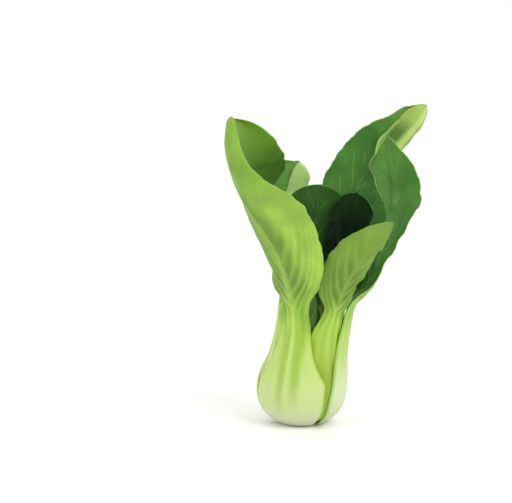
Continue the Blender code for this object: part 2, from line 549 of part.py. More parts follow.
def make_leaf(collection, leaf):
    rib = midrib(leaf)
    body_rows, tip_rows, columns = leaf["grid"]
    rows = stations(leaf, rib, body_rows, tip_rows)
    t = np.linspace(-1.0, 1.0, columns)
    outer, inner = leaf_faces(leaf, rib, rows, t)
    verts = np.concatenate([outer.reshape(-1, 3), inner.reshape(-1, 3)])
    mat = material(leaf["name"] + "_skin", leaf["colour"], leaf["roughness"])
    add_object(collection, leaf["name"], verts, [], shell_faces(len(rows), columns), mat)


def make_stem(collection):
    """Stem plate: a flat cut face below and a cone that the leaves sit round."""
    side = [(r, 0.0, z) for z, r in CORE[1:]]
    verts = [(0.0, 0.0, 0.0), (STEM_FOOT, 0.0, 0.0)] + side + [(0.0, 0.0, STEM_TOP)]
    edges = [(i, i + 1) for i in range(len(verts) - 1)]
    mat = material("stem_cut", (0.62, 0.62, 0.42), 0.6)
    stem = add_object(collection, "stem_plate", verts, edges, [], mat)
    spin = stem.modifiers.new("turned", "SCREW")
    spin.axis = "Z"
    spin.angle = 2.0 * math.pi
    spin.steps = STEM_SIDES
    spin.render_steps = STEM_SIDES
    spin.use_merge_vertices = True
    spin.merge_threshold = 0.00001
    spin.use_normal_calculate = True


def build():
    for obj in list(bpy.data.objects):
        bpy.data.objects.remove(obj)
    head = bpy.data.collections.new("shanghai_bok_choy")
    bpy.context.scene.collection.children.link(head)
    make_stem(head)
    for leaf in LEAVES:
        make_leaf(head, leaf)


build()
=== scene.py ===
"""A head of Shanghai bok choy standing on its cut stem end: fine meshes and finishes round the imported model.

Lengths in the leaf tables are millimetres, angles are degrees; the head stands at the origin, +Z up.
"""
import math
import bpy
import numpy as np
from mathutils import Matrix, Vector


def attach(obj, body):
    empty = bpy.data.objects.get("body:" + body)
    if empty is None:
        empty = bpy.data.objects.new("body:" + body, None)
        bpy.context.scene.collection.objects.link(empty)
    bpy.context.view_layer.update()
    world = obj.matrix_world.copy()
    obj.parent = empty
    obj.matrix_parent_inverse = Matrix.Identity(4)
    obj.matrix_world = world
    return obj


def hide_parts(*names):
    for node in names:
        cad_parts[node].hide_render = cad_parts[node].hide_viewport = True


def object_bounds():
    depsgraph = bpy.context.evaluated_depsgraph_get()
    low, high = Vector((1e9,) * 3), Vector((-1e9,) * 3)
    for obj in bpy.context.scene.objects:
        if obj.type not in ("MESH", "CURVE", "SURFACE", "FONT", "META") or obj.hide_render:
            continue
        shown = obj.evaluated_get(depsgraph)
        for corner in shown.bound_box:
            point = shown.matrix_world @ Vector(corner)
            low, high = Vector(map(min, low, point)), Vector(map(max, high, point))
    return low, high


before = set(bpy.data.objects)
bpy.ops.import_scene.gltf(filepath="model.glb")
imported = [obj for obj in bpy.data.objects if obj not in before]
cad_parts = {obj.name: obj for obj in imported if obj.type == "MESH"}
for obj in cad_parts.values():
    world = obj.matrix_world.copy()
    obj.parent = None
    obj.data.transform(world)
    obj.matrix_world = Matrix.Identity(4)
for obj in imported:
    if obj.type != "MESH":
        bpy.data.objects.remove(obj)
cad_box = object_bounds()


# Stem plate.  The short core that every leaf grows from, cut straight across below so that the head stands
# on it.  Pale watery flesh with rings of fibre ends on the cut face; the leaves sit round its cone.

MM = 0.001
CORE = ((0, 12), (1.5, 12), (4, 10.6), (8, 7.4), (13, 4.2), (19, 1.6))
CORE_RADIUS = 12.0
CORE_TOP = ((1.3, 19.5), (0.8, 19.85), (0.0, 20.0))
STEM_SIDES = 96
CUT_RINGS = (0.0, 1.6, 3.2, 4.8, 6.4, 8.0, 9.4, 10.6, 11.4, 11.9)
CUT_HOLLOW = 0.25       # how far the middle of the cut has dried in
CUT_WAVE = 0.06         # and how uneven the knife left it
CUT_PALE = (206, 209, 172)
CUT_BROWN = (176, 160, 104)
CUT_GREEN = (196, 210, 140)
CUT_GLOW = {"Subsurface Weight": 0.2, "Subsurface Radius": (0.8, 1.0, 0.4), "Subsurface Scale": 0.003}


def profile(table, x):
    """Smooth curve through a table of (x, y) pairs that never overshoots them."""
    xs = np.array([p[0] for p in table], float)
    ys = np.array([p[1] for p in table], float)
    h = np.diff(xs)
    d = np.diff(ys) / h
    m = np.zeros(len(xs))
    for i in range(1, len(xs) - 1):
        if d[i - 1] * d[i] > 0.0:
            w1 = 2.0 * h[i] + h[i - 1]
            w2 = h[i] + 2.0 * h[i - 1]
            m[i] = (w1 + w2) / (w1 / d[i - 1] + w2 / d[i])
    m[0] = d[0]
    m[-1] = d[-1]
    xc = np.clip(np.asarray(x, float), xs[0], xs[-1])
    k = np.clip(np.searchsorted(xs, xc) - 1, 0, len(xs) - 2)
    t = (xc - xs[k]) / h[k]
    start = ys[k] * (1.0 + 2.0 * t) * (1.0 - t) ** 2 + m[k] * h[k] * t * (1.0 - t) ** 2
    end = ys[k + 1] * t * t * (3.0 - 2.0 * t) + m[k + 1] * h[k] * t * t * (t - 1.0)
    return start + end


def colour(rgb):
    """Screen colour 0-255 as the linear colour that a shader takes."""
    c = np.asarray(rgb, float) / 255.0
    lin = np.where(c <= 0.04045, c / 12.92, ((c + 0.055) / 1.055) ** 2.4)
    return tuple(float(v) for v in lin) + (1.0,)


def add_node(tree, kind, inputs=None, **settings):
    """A shader node with its settings and inputs; an input is a value or another node's output."""
    node = tree.nodes.new(kind)
    for key, value in settings.items():
        setattr(node, key, value)
    for key, value in (inputs or {}).items():
        if isinstance(value, bpy.types.NodeSocket):
            tree.links.new(value, node.inputs[key])
        else:
            node.inputs[key].default_value = value
    return node


def math_node(tree, operation, a, b=0.0, clamp=False):
    return add_node(tree, "ShaderNodeMath", {0: a, 1: b}, operation=operation, use_clamp=clamp).outputs[0]


def plus(tree, a, b):
    return math_node(tree, "ADD", a, b)


def times(tree, first, *others):
    """Product of any number of values."""
    for other in others:
        first = math_node(tree, "MULTIPLY", first, other)
    return first


def soft_step(tree, value, low, high, to_low=0.0, to_high=1.0):
    """Smooth change from to_low to to_high while value goes from low to high."""
    wanted = {"Value": value, "From Min": low, "From Max": high, "To Min": to_low, "To Max": to_high}
    return add_node(tree, "ShaderNodeMapRange", wanted, interpolation_type="SMOOTHSTEP").outputs["Result"]


def noise(tree, place, scale, detail=1.0, roughness=0.5):
    wanted = {"Vector": place, "Scale": scale, "Detail": detail, "Roughness": roughness}
    return add_node(tree, "ShaderNodeTexNoise", wanted).outputs["Fac"]


def split(tree, vector):
    """The three numbers of a vector."""
    return add_node(tree, "ShaderNodeSeparateXYZ", {0: vector}).outputs[:]


def mix_colours(tree, share, a, b):
    return add_node(tree, "ShaderNodeMix", {0: share, 6: a, 7: b}, data_type="RGBA").outputs[2]


def laid_over(tree, base, share, rgb):
    """A share of a screen colour laid over a base colour."""
    return mix_colours(tree, share, base, colour(rgb))


def new_group(name, ins, outs):
    """An empty shader node group with float or vector inputs and float outputs."""
    group = bpy.data.node_groups.new(name, "ShaderNodeTree")
    for label, value in ins:
        kind = "NodeSocketVector" if value is None else "NodeSocketFloat"
        socket = group.interface.new_socket(label, in_out="INPUT", socket_type=kind)
        if value is not None:
            socket.default_value = value
    for label in outs:
        group.interface.new_socket(label, in_out="OUTPUT", socket_type="NodeSocketFloat")
    given = group.nodes.new("NodeGroupInput").outputs
    return group, given, group.nodes.new("NodeGroupOutput").inputs


def use_group(tree, group, inputs):
    return add_node(tree, "ShaderNodeGroup", inputs, node_tree=group).outputs


def mottle_group():
    """Slow and fine variation of a plant's flesh, both from 0 to 1."""
    group, given, out = new_group("flesh_mottle", [("Place", None), ("Scale", 60.0)], ["Slow", "Fine"])
    slow = noise(group, given["Place"], given["Scale"], 2.0)
    fine = noise(group, given["Place"], times(group, given["Scale"], 14.0), 3.0, 0.6)
    group.links.new(soft_step(group, slow, 0.3, 0.7), out["Slow"])
    group.links.new(fine, out["Fine"])
    return group


def new_material(name):
    """A material with its node tree and its own shader."""
    mat = bpy.data.materials.new(name)
    mat.use_nodes = True
    return mat, mat.node_tree, mat.node_tree.nodes["Principled BSDF"]


def link_skin(tree, shader, skin, rough, relief, strength, depth, fixed):
    """Links a skin's colour, roughness and relief to its shader and sets the shader's fixed values."""
    bump = add_node(tree, "ShaderNodeBump", {"Height": relief, "Strength": strength, "Distance": depth})
    tree.links.new(skin, shader.inputs["Base Color"])
    tree.links.new(rough, shader.inputs["Roughness"])
    tree.links.new(bump.outputs["Normal"], shader.inputs["Normal"])
    for key, value in fixed.items():
        shader.inputs[key].default_value = value


def add_mesh(name, verts, faces, mat):
    """A smoothly shaded mesh from points in millimetres."""
    mesh = bpy.data.meshes.new(name)
    mesh.from_pydata((np.asarray(verts) * MM).tolist(), [], faces)
    mesh.materials.append(mat)
    mesh.polygons.foreach_set("use_smooth", [True] * len(mesh.polygons))
    obj = bpy.data.objects.new(name, mesh)
    bpy.context.scene.collection.objects.link(obj)
    return obj


def stem_mesh():
    """Rings of the cut face from its middle out, then up the cone to a rounded top."""
    rings = [(r, CUT_HOLLOW * (1.0 - (r / CORE_RADIUS) ** 6)) for r in CUT_RINGS]
    side = np.concatenate([np.linspace(0.0, 1.5, 4), np.linspace(2.2, 19.0, 24)])
    rings += [(float(profile(CORE, z)), float(z)) for z in side]
    rings += CORE_TOP
    turn = np.arange(STEM_SIDES) * 2.0 * math.pi / STEM_SIDES
    verts = []
    for r, z in rings:
        on_cut = r < CORE_RADIUS and z <= CUT_HOLLOW
        wave = CUT_WAVE * np.sin(turn * 9.0 + r * 1.7) * (r / CORE_RADIUS) * on_cut
        verts += [(r * math.cos(a), r * math.sin(a), max(0.0, z + float(d))) for a, d in zip(turn, wave)]
    faces = []
    last = (len(rings) - 1) * STEM_SIDES
    for row in range(0, last, STEM_SIDES):
        for j in range(STEM_SIDES):
            a, b = row + j, row + (j + 1) % STEM_SIDES
            c, d = b + STEM_SIDES, a + STEM_SIDES
            if row == 0:
                faces.append((0, c, d))
            elif d >= last:
                faces.append((a, b, last))
            else:
                faces.append((a, b, c, d))
    return np.array(verts), faces


def stem_material():
    mat, tree, shader = new_material("stem_cut_flesh")
    place = add_node(tree, "ShaderNodeTexCoord").outputs["Object"]
    mottle = use_group(tree, FLESH_MOTTLE, {"Place": place, "Scale": 160.0})
    waves = {"Vector": place, "Scale": 260.0, "Distortion": 3.0, "Detail": 2.0, "Detail Scale": 2.0}
    ring = add_node(tree, "ShaderNodeTexWave", waves, wave_type="RINGS", rings_direction="Z").outputs["Fac"]
    fibre = add_node(tree, "ShaderNodeTexVoronoi", {"Vector": place, "Scale": 900.0}, feature="F1")
    ends = soft_step(tree, fibre.outputs["Distance"], 0.1, 0.32, 1.0, 0.0)
    low = soft_step(tree, split(tree, place)[2], 0.0015, 0.006, 1.0, 0.0)
    flesh = mix_colours(tree, mottle["Slow"], colour(CUT_PALE), colour(CUT_GREEN))
    flesh = laid_over(tree, flesh, times(tree, ring, 0.25), CUT_BROWN)
    flesh = laid_over(tree, flesh, times(tree, ends, low, 0.35), CUT_BROWN)
    rough = soft_step(tree, mottle["Fine"], 0.3, 0.7, 0.42, 0.62)
    relief = plus(tree, mottle["Fine"], times(tree, ring, 0.6))
    link_skin(tree, shader, flesh, rough, relief, 0.5, 0.0002, CUT_GLOW)
    return mat


FLESH_MOTTLE = mottle_group()
stem = add_mesh("stem_plate_flesh", *stem_mesh(), stem_material())
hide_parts("stem_plate")
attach(stem, "root")


# Outer leaf, front left.  The largest leaf: one thick pale stalk, ribbed lengthwise, that widens into a
# thin blade folded like a boat and arching left.  It grew in one piece from the stem plate; its waxy
# underside shows, with the veins fanning up out of the stalk's ribs.

GAP = 0.2               # clearance between two pieces
STALK_EDGE = 1.1        # thickness of a stalk at its margins
EDGE_FADE = 1.3         # and where it ends past them, in half widths
# outer radius of the bulb, how far its middle leans right and how thick the stalks of each whorl are, by
# height; then the depth of the grooves between a stalk's ribs, by station
BELLY = ((0.4, 13.6), (3, 17.8), (8, 23.4), (13, 26), (20, 27.4), (26, 27.4), (33, 26.4), (40, 24.9),
         (55, 23.4), (71, 23.3), (95, 24))
LEAN = ((0, 0), (20, 0), (33, 1.5), (40, 3), (55, 6), (71, 8.7), (95, 12.5))
STALK_WALL = {
    1: ((0.4, 2), (4, 4.4), (12, 6.4), (25, 6.4), (45, 5.4), (71, 4.6)),
    2: ((3.5, 2), (7, 3.6), (14, 5), (25, 5.2), (45, 4.6), (71, 4)),
    3: ((6, 1.6), (10, 2.6), (18, 3.6), (30, 3.8), (60, 3.2)),
    4: ((9, 1.4), (14, 2), (25, 2.4), (45, 2.2)),
}
RIBBED = ((0, 0), (0.25, 0), (0.5, 0.3), (0.85, 0.55), (1.1, 0.5), (1.3, 0.2), (1.5, 0))
STALK_POINTS = 9        # points of a midrib up to its neck
DENSE = 900             # and of the curve laid through them all
CUP_STEPS = 60          # steps in which the bend across a blade is added up
NO_ROLL = ((1.0, 0.0), (2.0, 0.0))
MESH_STEP = 0.75        # size of a facet of the fine mesh
LEAST_WIDTH = 22.0      # narrower halves get as many columns as one of this width
MARGIN_ZONE = 3.0       # the columns this near to a margin stand at the distances below from it
MARGIN_STEPS = (2.6, 1.8, 1.1, 0.55, 0.2, 0.0)
RIM = 0.5               # the margin of a blade is rounded over this width
STALK_RIM = 1.3         # and that of a stalk over this much more
NIBBLE = 0.2            # depth of the finest notches of a margin
FRILL = 0.14            # height of its finest waves
VEIN_FLARE = 0.62       # how far the veins sweep up before they reach the margin
VEIN_RISE = 0.45        # slope of a vein where it leaves the midrib
VEIN_STEP = 9.0         # first distance between two veins along the midrib
VEIN_WIDEN = 0.08       # growth of that distance
VEIN_HALF = 0.62        # half the width of a vein at the midrib
RIDGE_HALF = 0.8        # half the width of the ridge that it makes below the blade
RIDGE_LOW = 0.3         # height of that ridge at the neck
RIDGE_HIGH = 0.1        # and far up the blade
QUILT_LOW = 0.055       # bulge of the skin between veins, as a share of their distance, at the neck
QUILT_HIGH = 0.017      # and far up the blade
RAISED = 0.55           # the share of the midrib that stands out below the blade
RIB_STALK = 0.42        # half the width of the pale midrib on a stalk, as a share of the thick middle's
RIB_BLADE = 0.34        # and on a blade
BLADE_FROM = 0.97       # the stalk widens into the blade from this station
BLADE_FULL = 1.12       # up to this one
FREE_FROM = 0.8         # and lets go of its whorl from this station
FREE_FULL = 1.1         # up to this one
WHORL_ABOVE = 12.0      # the whorl's shape is followed this far above the neck
MARGIN_LEFT = 0.3       # the share of its thickness that a margin keeps at its very edge
BOX_ZONE = 1.5          # the outermost part of the head, in which what stands proud of its box is drawn in
BOX_OVER = 0.3          # more than the ripples ever stand proud of it
whorls = []

# A leaf in millimetres and degrees.  base and neck: heights between which its stalk lies in its whorl.
# azimuth and half_angle: the side on which it stands and half its width there, by height.  inset: how much
# further in than its whorl.  spine: its middle line above the neck.  By station, 1 at the neck and 2 at the
# tip: left and right half widths, cup (bend across), roll (of a margin, from roll_start to roll_end of the
# half), twist, keel and keel_half (height and half width of the midrib), grooves (their depth).  waves:
# height, length, phase and power.  tip: how much of the blade is rounded off at its end.
OUTER_WHORL = dict(
    whorl=1, base=0.5, neck=71, inset=0,
    keel=((1, 3.5), (1.2, 2.6), (1.5, 1.6), (1.8, 0.8), (2, 0.3)),
    keel_half=((1, 12), (1.2, 9), (1.5, 5), (1.8, 2.6), (2, 1.6)),
    grooves=RIBBED, rib_count=5, scallop=0.01, scallop_step=11, lamina=0.8, roll_start=0.7,
)


def smooth(low, high, x):
    """Soft step from 0 at low to 1 at high."""
    u = np.clip((np.asarray(x, float) - low) / (high - low), 0.0, 1.0)
    return u * u * (3.0 - 2.0 * u)


def spline(xs, ys, x):
    """Natural cubic spline through (xs, ys); ys may hold points."""
    xs = np.asarray(xs, float)
    ys = np.asarray(ys, float)
    n = len(xs)
    h = np.diff(xs)
    a = np.zeros((n, n))
    r = np.zeros((n,) + ys.shape[1:])
    a[0, 0] = 1.0
    a[-1, -1] = 1.0
    for i in range(1, n - 1):
        a[i, i - 1] = h[i - 1]
        a[i, i] = 2.0 * (h[i - 1] + h[i])
        a[i, i + 1] = h[i]
        r[i] = 6.0 * ((ys[i + 1] - ys[i]) / h[i] - (ys[i] - ys[i - 1]) / h[i - 1])
    m = np.linalg.solve(a, r)
    x = np.asarray(x, float)
    k = np.clip(np.searchsorted(xs, x) - 1, 0, n - 2)
    t = np.clip(x, xs[0], xs[-1]) - xs[k]
    hk = h[k]
    if ys.ndim > 1:
        t = t[..., None]
        hk = hk[..., None]
    slope = (ys[k + 1] - ys[k]) / hk - hk * (2.0 * m[k] + m[k + 1]) / 6.0
    return ys[k] + slope * t + m[k] * t * t / 2.0 + (m[k + 1] - m[k]) * t ** 3 / (6.0 * hk)


def table_spline(table, x):
    t = np.array(table, float)
    return spline(t[:, 0], t[:, 1], x)


def unit(v):
    return v / np.maximum(np.linalg.norm(v, axis=-1, keepdims=True), 1e-9)


def turn_between(a, b):
    """Signed angle from b to a, in degrees."""
    return (np.asarray(a, float) - b + 180.0) % 360.0 - 180.0


def stalk_wall(leaf, z, across):
    """Thickness of a stalk at height z; across is 0 in its middle and 1 at its margins."""
    mid = profile(STALK_WALL[leaf["whorl"]], z)
    a = np.abs(across)
    inside = STALK_EDGE + (mid - STALK_EDGE) * np.clip(1.0 - a * a, 0.0, 1.0)
    return np.where(a <= 1.0, inside, STALK_EDGE * (1.0 - smooth(1.0, EDGE_FADE, a)))


def whorl_depth(whorl, angle, z):
    """Thickness that the stalks of a whorl take up at an angle and height."""
    depth = np.zeros(np.broadcast(angle, z).shape)
    for leaf in whorls:
        if leaf["whorl"] == whorl:
            across = turn_between(angle, profile(leaf["azimuth"], z)) / profile(leaf["half_angle"], z)
            depth = np.maximum(depth, stalk_wall(leaf, z, across))
    return depth


def whorl_radius(leaf, angle, z):
    """Outer radius of a leaf's whorl at an angle and height."""
    r = table_spline(BELLY, z) - leaf["inset"] + 0.0 * angle
    for whorl in range(1, leaf["whorl"]):
        r = r - whorl_depth(whorl, angle, z) - GAP
    return r


def ring_points(r, angle, z):
    rad = np.radians(angle)
    return np.stack([table_spline(LEAN, z) + r * np.cos(rad), r * np.sin(rad), z], -1)


def midrib(leaf):
    """Points along the middle of a leaf with their stations, arc lengths, directions and outward normals."""
    zs = np.linspace(leaf["base"], leaf["neck"], STALK_POINTS)
    az = profile(leaf["azimuth"], zs)
    stalk = ring_points(whorl_radius(leaf, az, zs), az, zs)
    pts = np.vstack([stalk, np.array(leaf["spine"], float)])
    steps = np.linalg.norm(np.diff(pts, axis=0), axis=1) ** 0.8
    par = np.concatenate([[0.0], np.cumsum(steps)])
    dense = np.linspace(0.0, par[-1], DENSE)
    m = spline(par, pts, dense)
    arc = np.concatenate([[0.0], np.cumsum(np.linalg.norm(np.diff(m, axis=0), axis=1))])
    arc_neck = np.interp(par[STALK_POINTS - 1], dense, arc)
    above = 1.0 + (arc - arc_neck) / (arc[-1] - arc_neck)
    station = np.where(arc < arc_neck, arc / arc_neck, above)
    along = unit(np.gradient(m, arc, axis=0))
    start = int(np.argmin(np.abs(station - 1.0)))
    a0 = math.radians(float(profile(leaf["azimuth"], leaf["neck"])))
    out0 = np.array([math.cos(a0), math.sin(a0), 0.0])
    normal = np.zeros_like(m)
    normal[start] = unit(out0 - along[start] * np.dot(out0, along[start]))
    for i in range(start + 1, DENSE):
        normal[i] = unit(normal[i - 1] - along[i] * np.dot(normal[i - 1], along[i]))
    for i in range(start - 1, -1, -1):
        normal[i] = unit(normal[i + 1] - along[i] * np.dot(normal[i + 1], along[i]))
    return dict(station=station, m=m, along=along, normal=normal, arc=arc, arc_neck=arc_neck)


def rows_at(rib, key, station):
    return np.stack([np.interp(station, rib["station"], rib[key][:, i]) for i in range(3)], 1)


def rows_of(leaf, rib):
    """Stations of the rows of the fine mesh, closer together where the tip is rounded."""
    first = 2.0 - leaf["tip"]
    arc_end = np.interp(first, rib["station"], rib["arc"])
    count = int(arc_end / MESH_STEP)
    body = np.interp(np.linspace(0.0, arc_end, count, endpoint=False), rib["arc"], rib["station"])
    tip_count = int((rib["arc"][-1] - arc_end) / MESH_STEP * 1.3) + 6
    k = np.arange(0, tip_count + 1) / float(tip_count)
    return np.concatenate([body, first + leaf["tip"] * np.sin(0.495 * math.pi * k)])


def columns_of(leaf):
    """Places across, -1 to 1, closer together at the margins; none falls on the midrib itself."""
    widest = max(max(p[1] for p in leaf["left"]), max(p[1] for p in leaf["right"]), LEAST_WIDTH)
    half = np.linspace(0.0, 1.0, int(widest / MESH_STEP) + 1)
    half = (half[1:] + half[:-1]) / 2.0
    half = half[half < 1.0 - MARGIN_ZONE / widest]
    half = np.concatenate([half, 1.0 - np.array(MARGIN_STEPS) / widest])
    return np.concatenate([-half[::-1], half])


def rib_wave(leaf, station, t):
    return t * leaf["rib_count"] * math.pi + leaf["rib_phase"] + 0.5 * np.sin(2.3 * t + station)


def added_up(slopes):
    """Running sum of a section's slopes from the midrib out, as a share of its half width."""
    steps = np.cumsum((slopes[:, 1:] + slopes[:, :-1]) * 0.5, 1) / CUP_STEPS
    return np.concatenate([np.zeros((len(slopes), 1)), steps], 1)


def half_section(leaf, side, station, arc, blade, stalk_half, radius, round_off):
    """Half width, bend angle and the section's run and drop for one half of the blade."""
    name = "left" if side < 0 else "right"
    width = (1.0 - blade) * stalk_half + blade * profile(leaf[name], station)
    phase = 4.0 if side < 0 else 1.3

    # the margin's shallow lobes and its finest notches
    ripple = np.sin(arc * 2.0 * math.pi / leaf["scallop_step"] + phase)
    width = width * round_off * (1.0 + leaf["scallop"] * blade * ripple)
    notches = 0.65 * np.sin(arc * 1.23 + 2.0 * phase + 1.1 * np.sin(arc * 0.31))
    notches = notches + 0.35 * np.sin(arc * 2.05 + phase)
    width = width + blade * round_off * NIBBLE * notches

    # how far the section has turned at each step across: its cup, and the curl of a rolled margin
    cup = (1.0 - blade) * stalk_half / radius + blade * np.radians(profile(leaf["cup_" + name], station))
    roll = blade * np.radians(profile(leaf.get("roll_" + name, NO_ROLL), station))
    u = np.linspace(0.0, 1.0, CUP_STEPS + 1)
    curl = smooth(leaf["roll_start"], leaf.get("roll_end", 1.0), u)
    bend = cup[:, None] * u[None] + roll[:, None] * curl[None]
    return width, bend, added_up(np.cos(bend)), added_up(np.sin(bend))


def vein_field(leaf, station, t, above, half, neck_half, side):
    """Vein number on one half: whole numbers run along veins, which leave the midrib or a rib."""
    u = np.abs(t)[None] + 0.0 * above[:, None]
    start = above[:, None] - half / VEIN_RISE * -np.log(1.0 - VEIN_FLARE * u)
    neck_t = (1.0 - np.exp(np.minimum(start, 0.0) * VEIN_RISE / neck_half)) / VEIN_FLARE
    s = np.minimum(station, 1.0)[:, None]
    stalk_t = np.where(above[:, None] < 0.0, u, neck_t)
    ribs = rib_wave(leaf, s, side * stalk_t) / (2.0 * math.pi)
    higher = np.log(1.0 + VEIN_WIDEN * np.maximum(start, 0.0) / VEIN_STEP) / VEIN_WIDEN
    field = ribs - side * higher

    # no vein runs quite evenly
    wander = 0.24 * np.sin(above / 13.0 + 2.0 * side)
    wander = wander + 0.12 * np.sin(above / 6.1 + 1.3 * side + leaf["rib_phase"])
    return field + (wander * smooth(0.0, 15.0, above))[:, None]


def vein_grid(leaf, station, t, arc, above, half):
    """Vein number, distance between veins and half width of a vein at every point of the mesh."""
    veins = np.zeros_like(half)
    apart = np.zeros_like(half)
    neck_row = int(np.argmin(np.abs(above)))
    for side in (-1.0, 1.0):
        js = np.where(np.sign(t) == side)[0]
        field = vein_field(leaf, station, t[js], above, half[:, js], half[neck_row, js[0]], side)
        step_across = np.abs(np.gradient(half[:, js] * t[js], axis=1))
        rate_along = np.gradient(field, axis=0) / np.maximum(np.gradient(arc), 0.02)[:, None]
        rate_across = np.gradient(field, axis=1) / np.maximum(step_across, 0.02)
        veins[:, js] = field
        apart[:, js] = np.clip(1.0 / np.hypot(rate_along, rate_across), 0.8, 16.0)
    ut = np.abs(t)[None]

    # a vein thins towards the margin and the tip, fades down the stalk and where veins crowd
    thick = VEIN_HALF * (1.0 - 0.72 * smooth(0.1, 1.0, ut)) * smooth(1.0, 0.93, ut)
    thick = thick * ((1.0 - 0.55 * smooth(1.1, 2.0, station)) * smooth(-25.0, 6.0, above))[:, None]
    thick = thick * np.clip(apart / 3.0, 0.0, 1.0)
    return veins, apart, thick


def vein_relief(veins, apart, thick, above, ut, w):
    """Height of the ridges that the veins make, and of the skin that bulges between them."""
    high = smooth(22.0, 70.0, above)[:, None]
    from_vein = (0.5 - np.abs((veins % 1.0) - 0.5)) * apart
    ridge = RIDGE_LOW + (RIDGE_HIGH - RIDGE_LOW) * high
    ridge = ridge * np.exp(-(from_vein / RIDGE_HALF) ** 2) * (thick / VEIN_HALF)
    quilt = QUILT_LOW + (QUILT_HIGH - QUILT_LOW) * high
    quilt = quilt * np.cos(2.0 * math.pi * veins) * np.minimum(apart, 10.0)
    quilt = quilt * smooth(-8.0, 14.0, above)[:, None] * smooth(1.0, 0.7, ut) * smooth(0.0, 3.5, np.abs(w))
    return ridge, quilt * (1.0 - 0.6 * smooth(0.35, 0.8, ut))


def blade_sheet(leaf, m, along, normal, arc, station, t, blade, stalk_half, radius):
    """The sheet that a blade is laid on: its points, outward directions and half widths."""
    across = np.cross(along, normal)
    end = np.clip((station - (2.0 - leaf["tip"])) / leaf["tip"], 0.0, 1.0)
    round_off = np.sqrt(np.maximum(1.0 - end * end, 0.0))
    run, drop, bend, half = np.zeros((4, len(station), len(t)))
    for side in (-1.0, 1.0):
        width, bends, runs, drops = half_section(leaf, side, station, arc, blade, stalk_half, radius,
                                                 round_off)
        js = np.where(np.sign(t) == side)[0]
        at = np.abs(t[js]) * CUP_STEPS
        k = np.minimum(at.astype(int), CUP_STEPS - 1)
        for grid, steps in ((run, runs * side), (drop, drops), (bend, bends * side)):
            grid[:, js] = steps[:, k] * (1.0 - (at - k)) + steps[:, k + 1] * (at - k)
        half[:, js] = width[:, None]
    sheet = m[:, None] + across[:, None] * (half * run)[..., None]
    sheet = sheet - normal[:, None] * (half * drop)[..., None]
    outward = normal[:, None] * np.cos(bend)[..., None] + across[:, None] * np.sin(bend)[..., None]

    # ripples that grow towards the margin, and a fine frill at the margin itself
    wave = np.zeros_like(half)
    for height, length, phase, power in leaf["waves"]:
        ph = arc[:, None] * (2.0 * math.pi / length) + phase + 0.6 * t[None]
        wave = wave + height * (np.abs(t) ** power)[None] * np.sin(ph)
    ph = arc[:, None] * 0.95 + 2.0 * np.sin(arc[:, None] * 0.17) + np.sign(t)[None]
    wave = wave + FRILL * (np.abs(t) ** 9)[None] * np.sin(ph)
    fade = (smooth(1.05, 1.3, station) * (0.25 + 0.75 * round_off))[:, None]
    return sheet + outward * (wave * fade)[..., None], outward, half


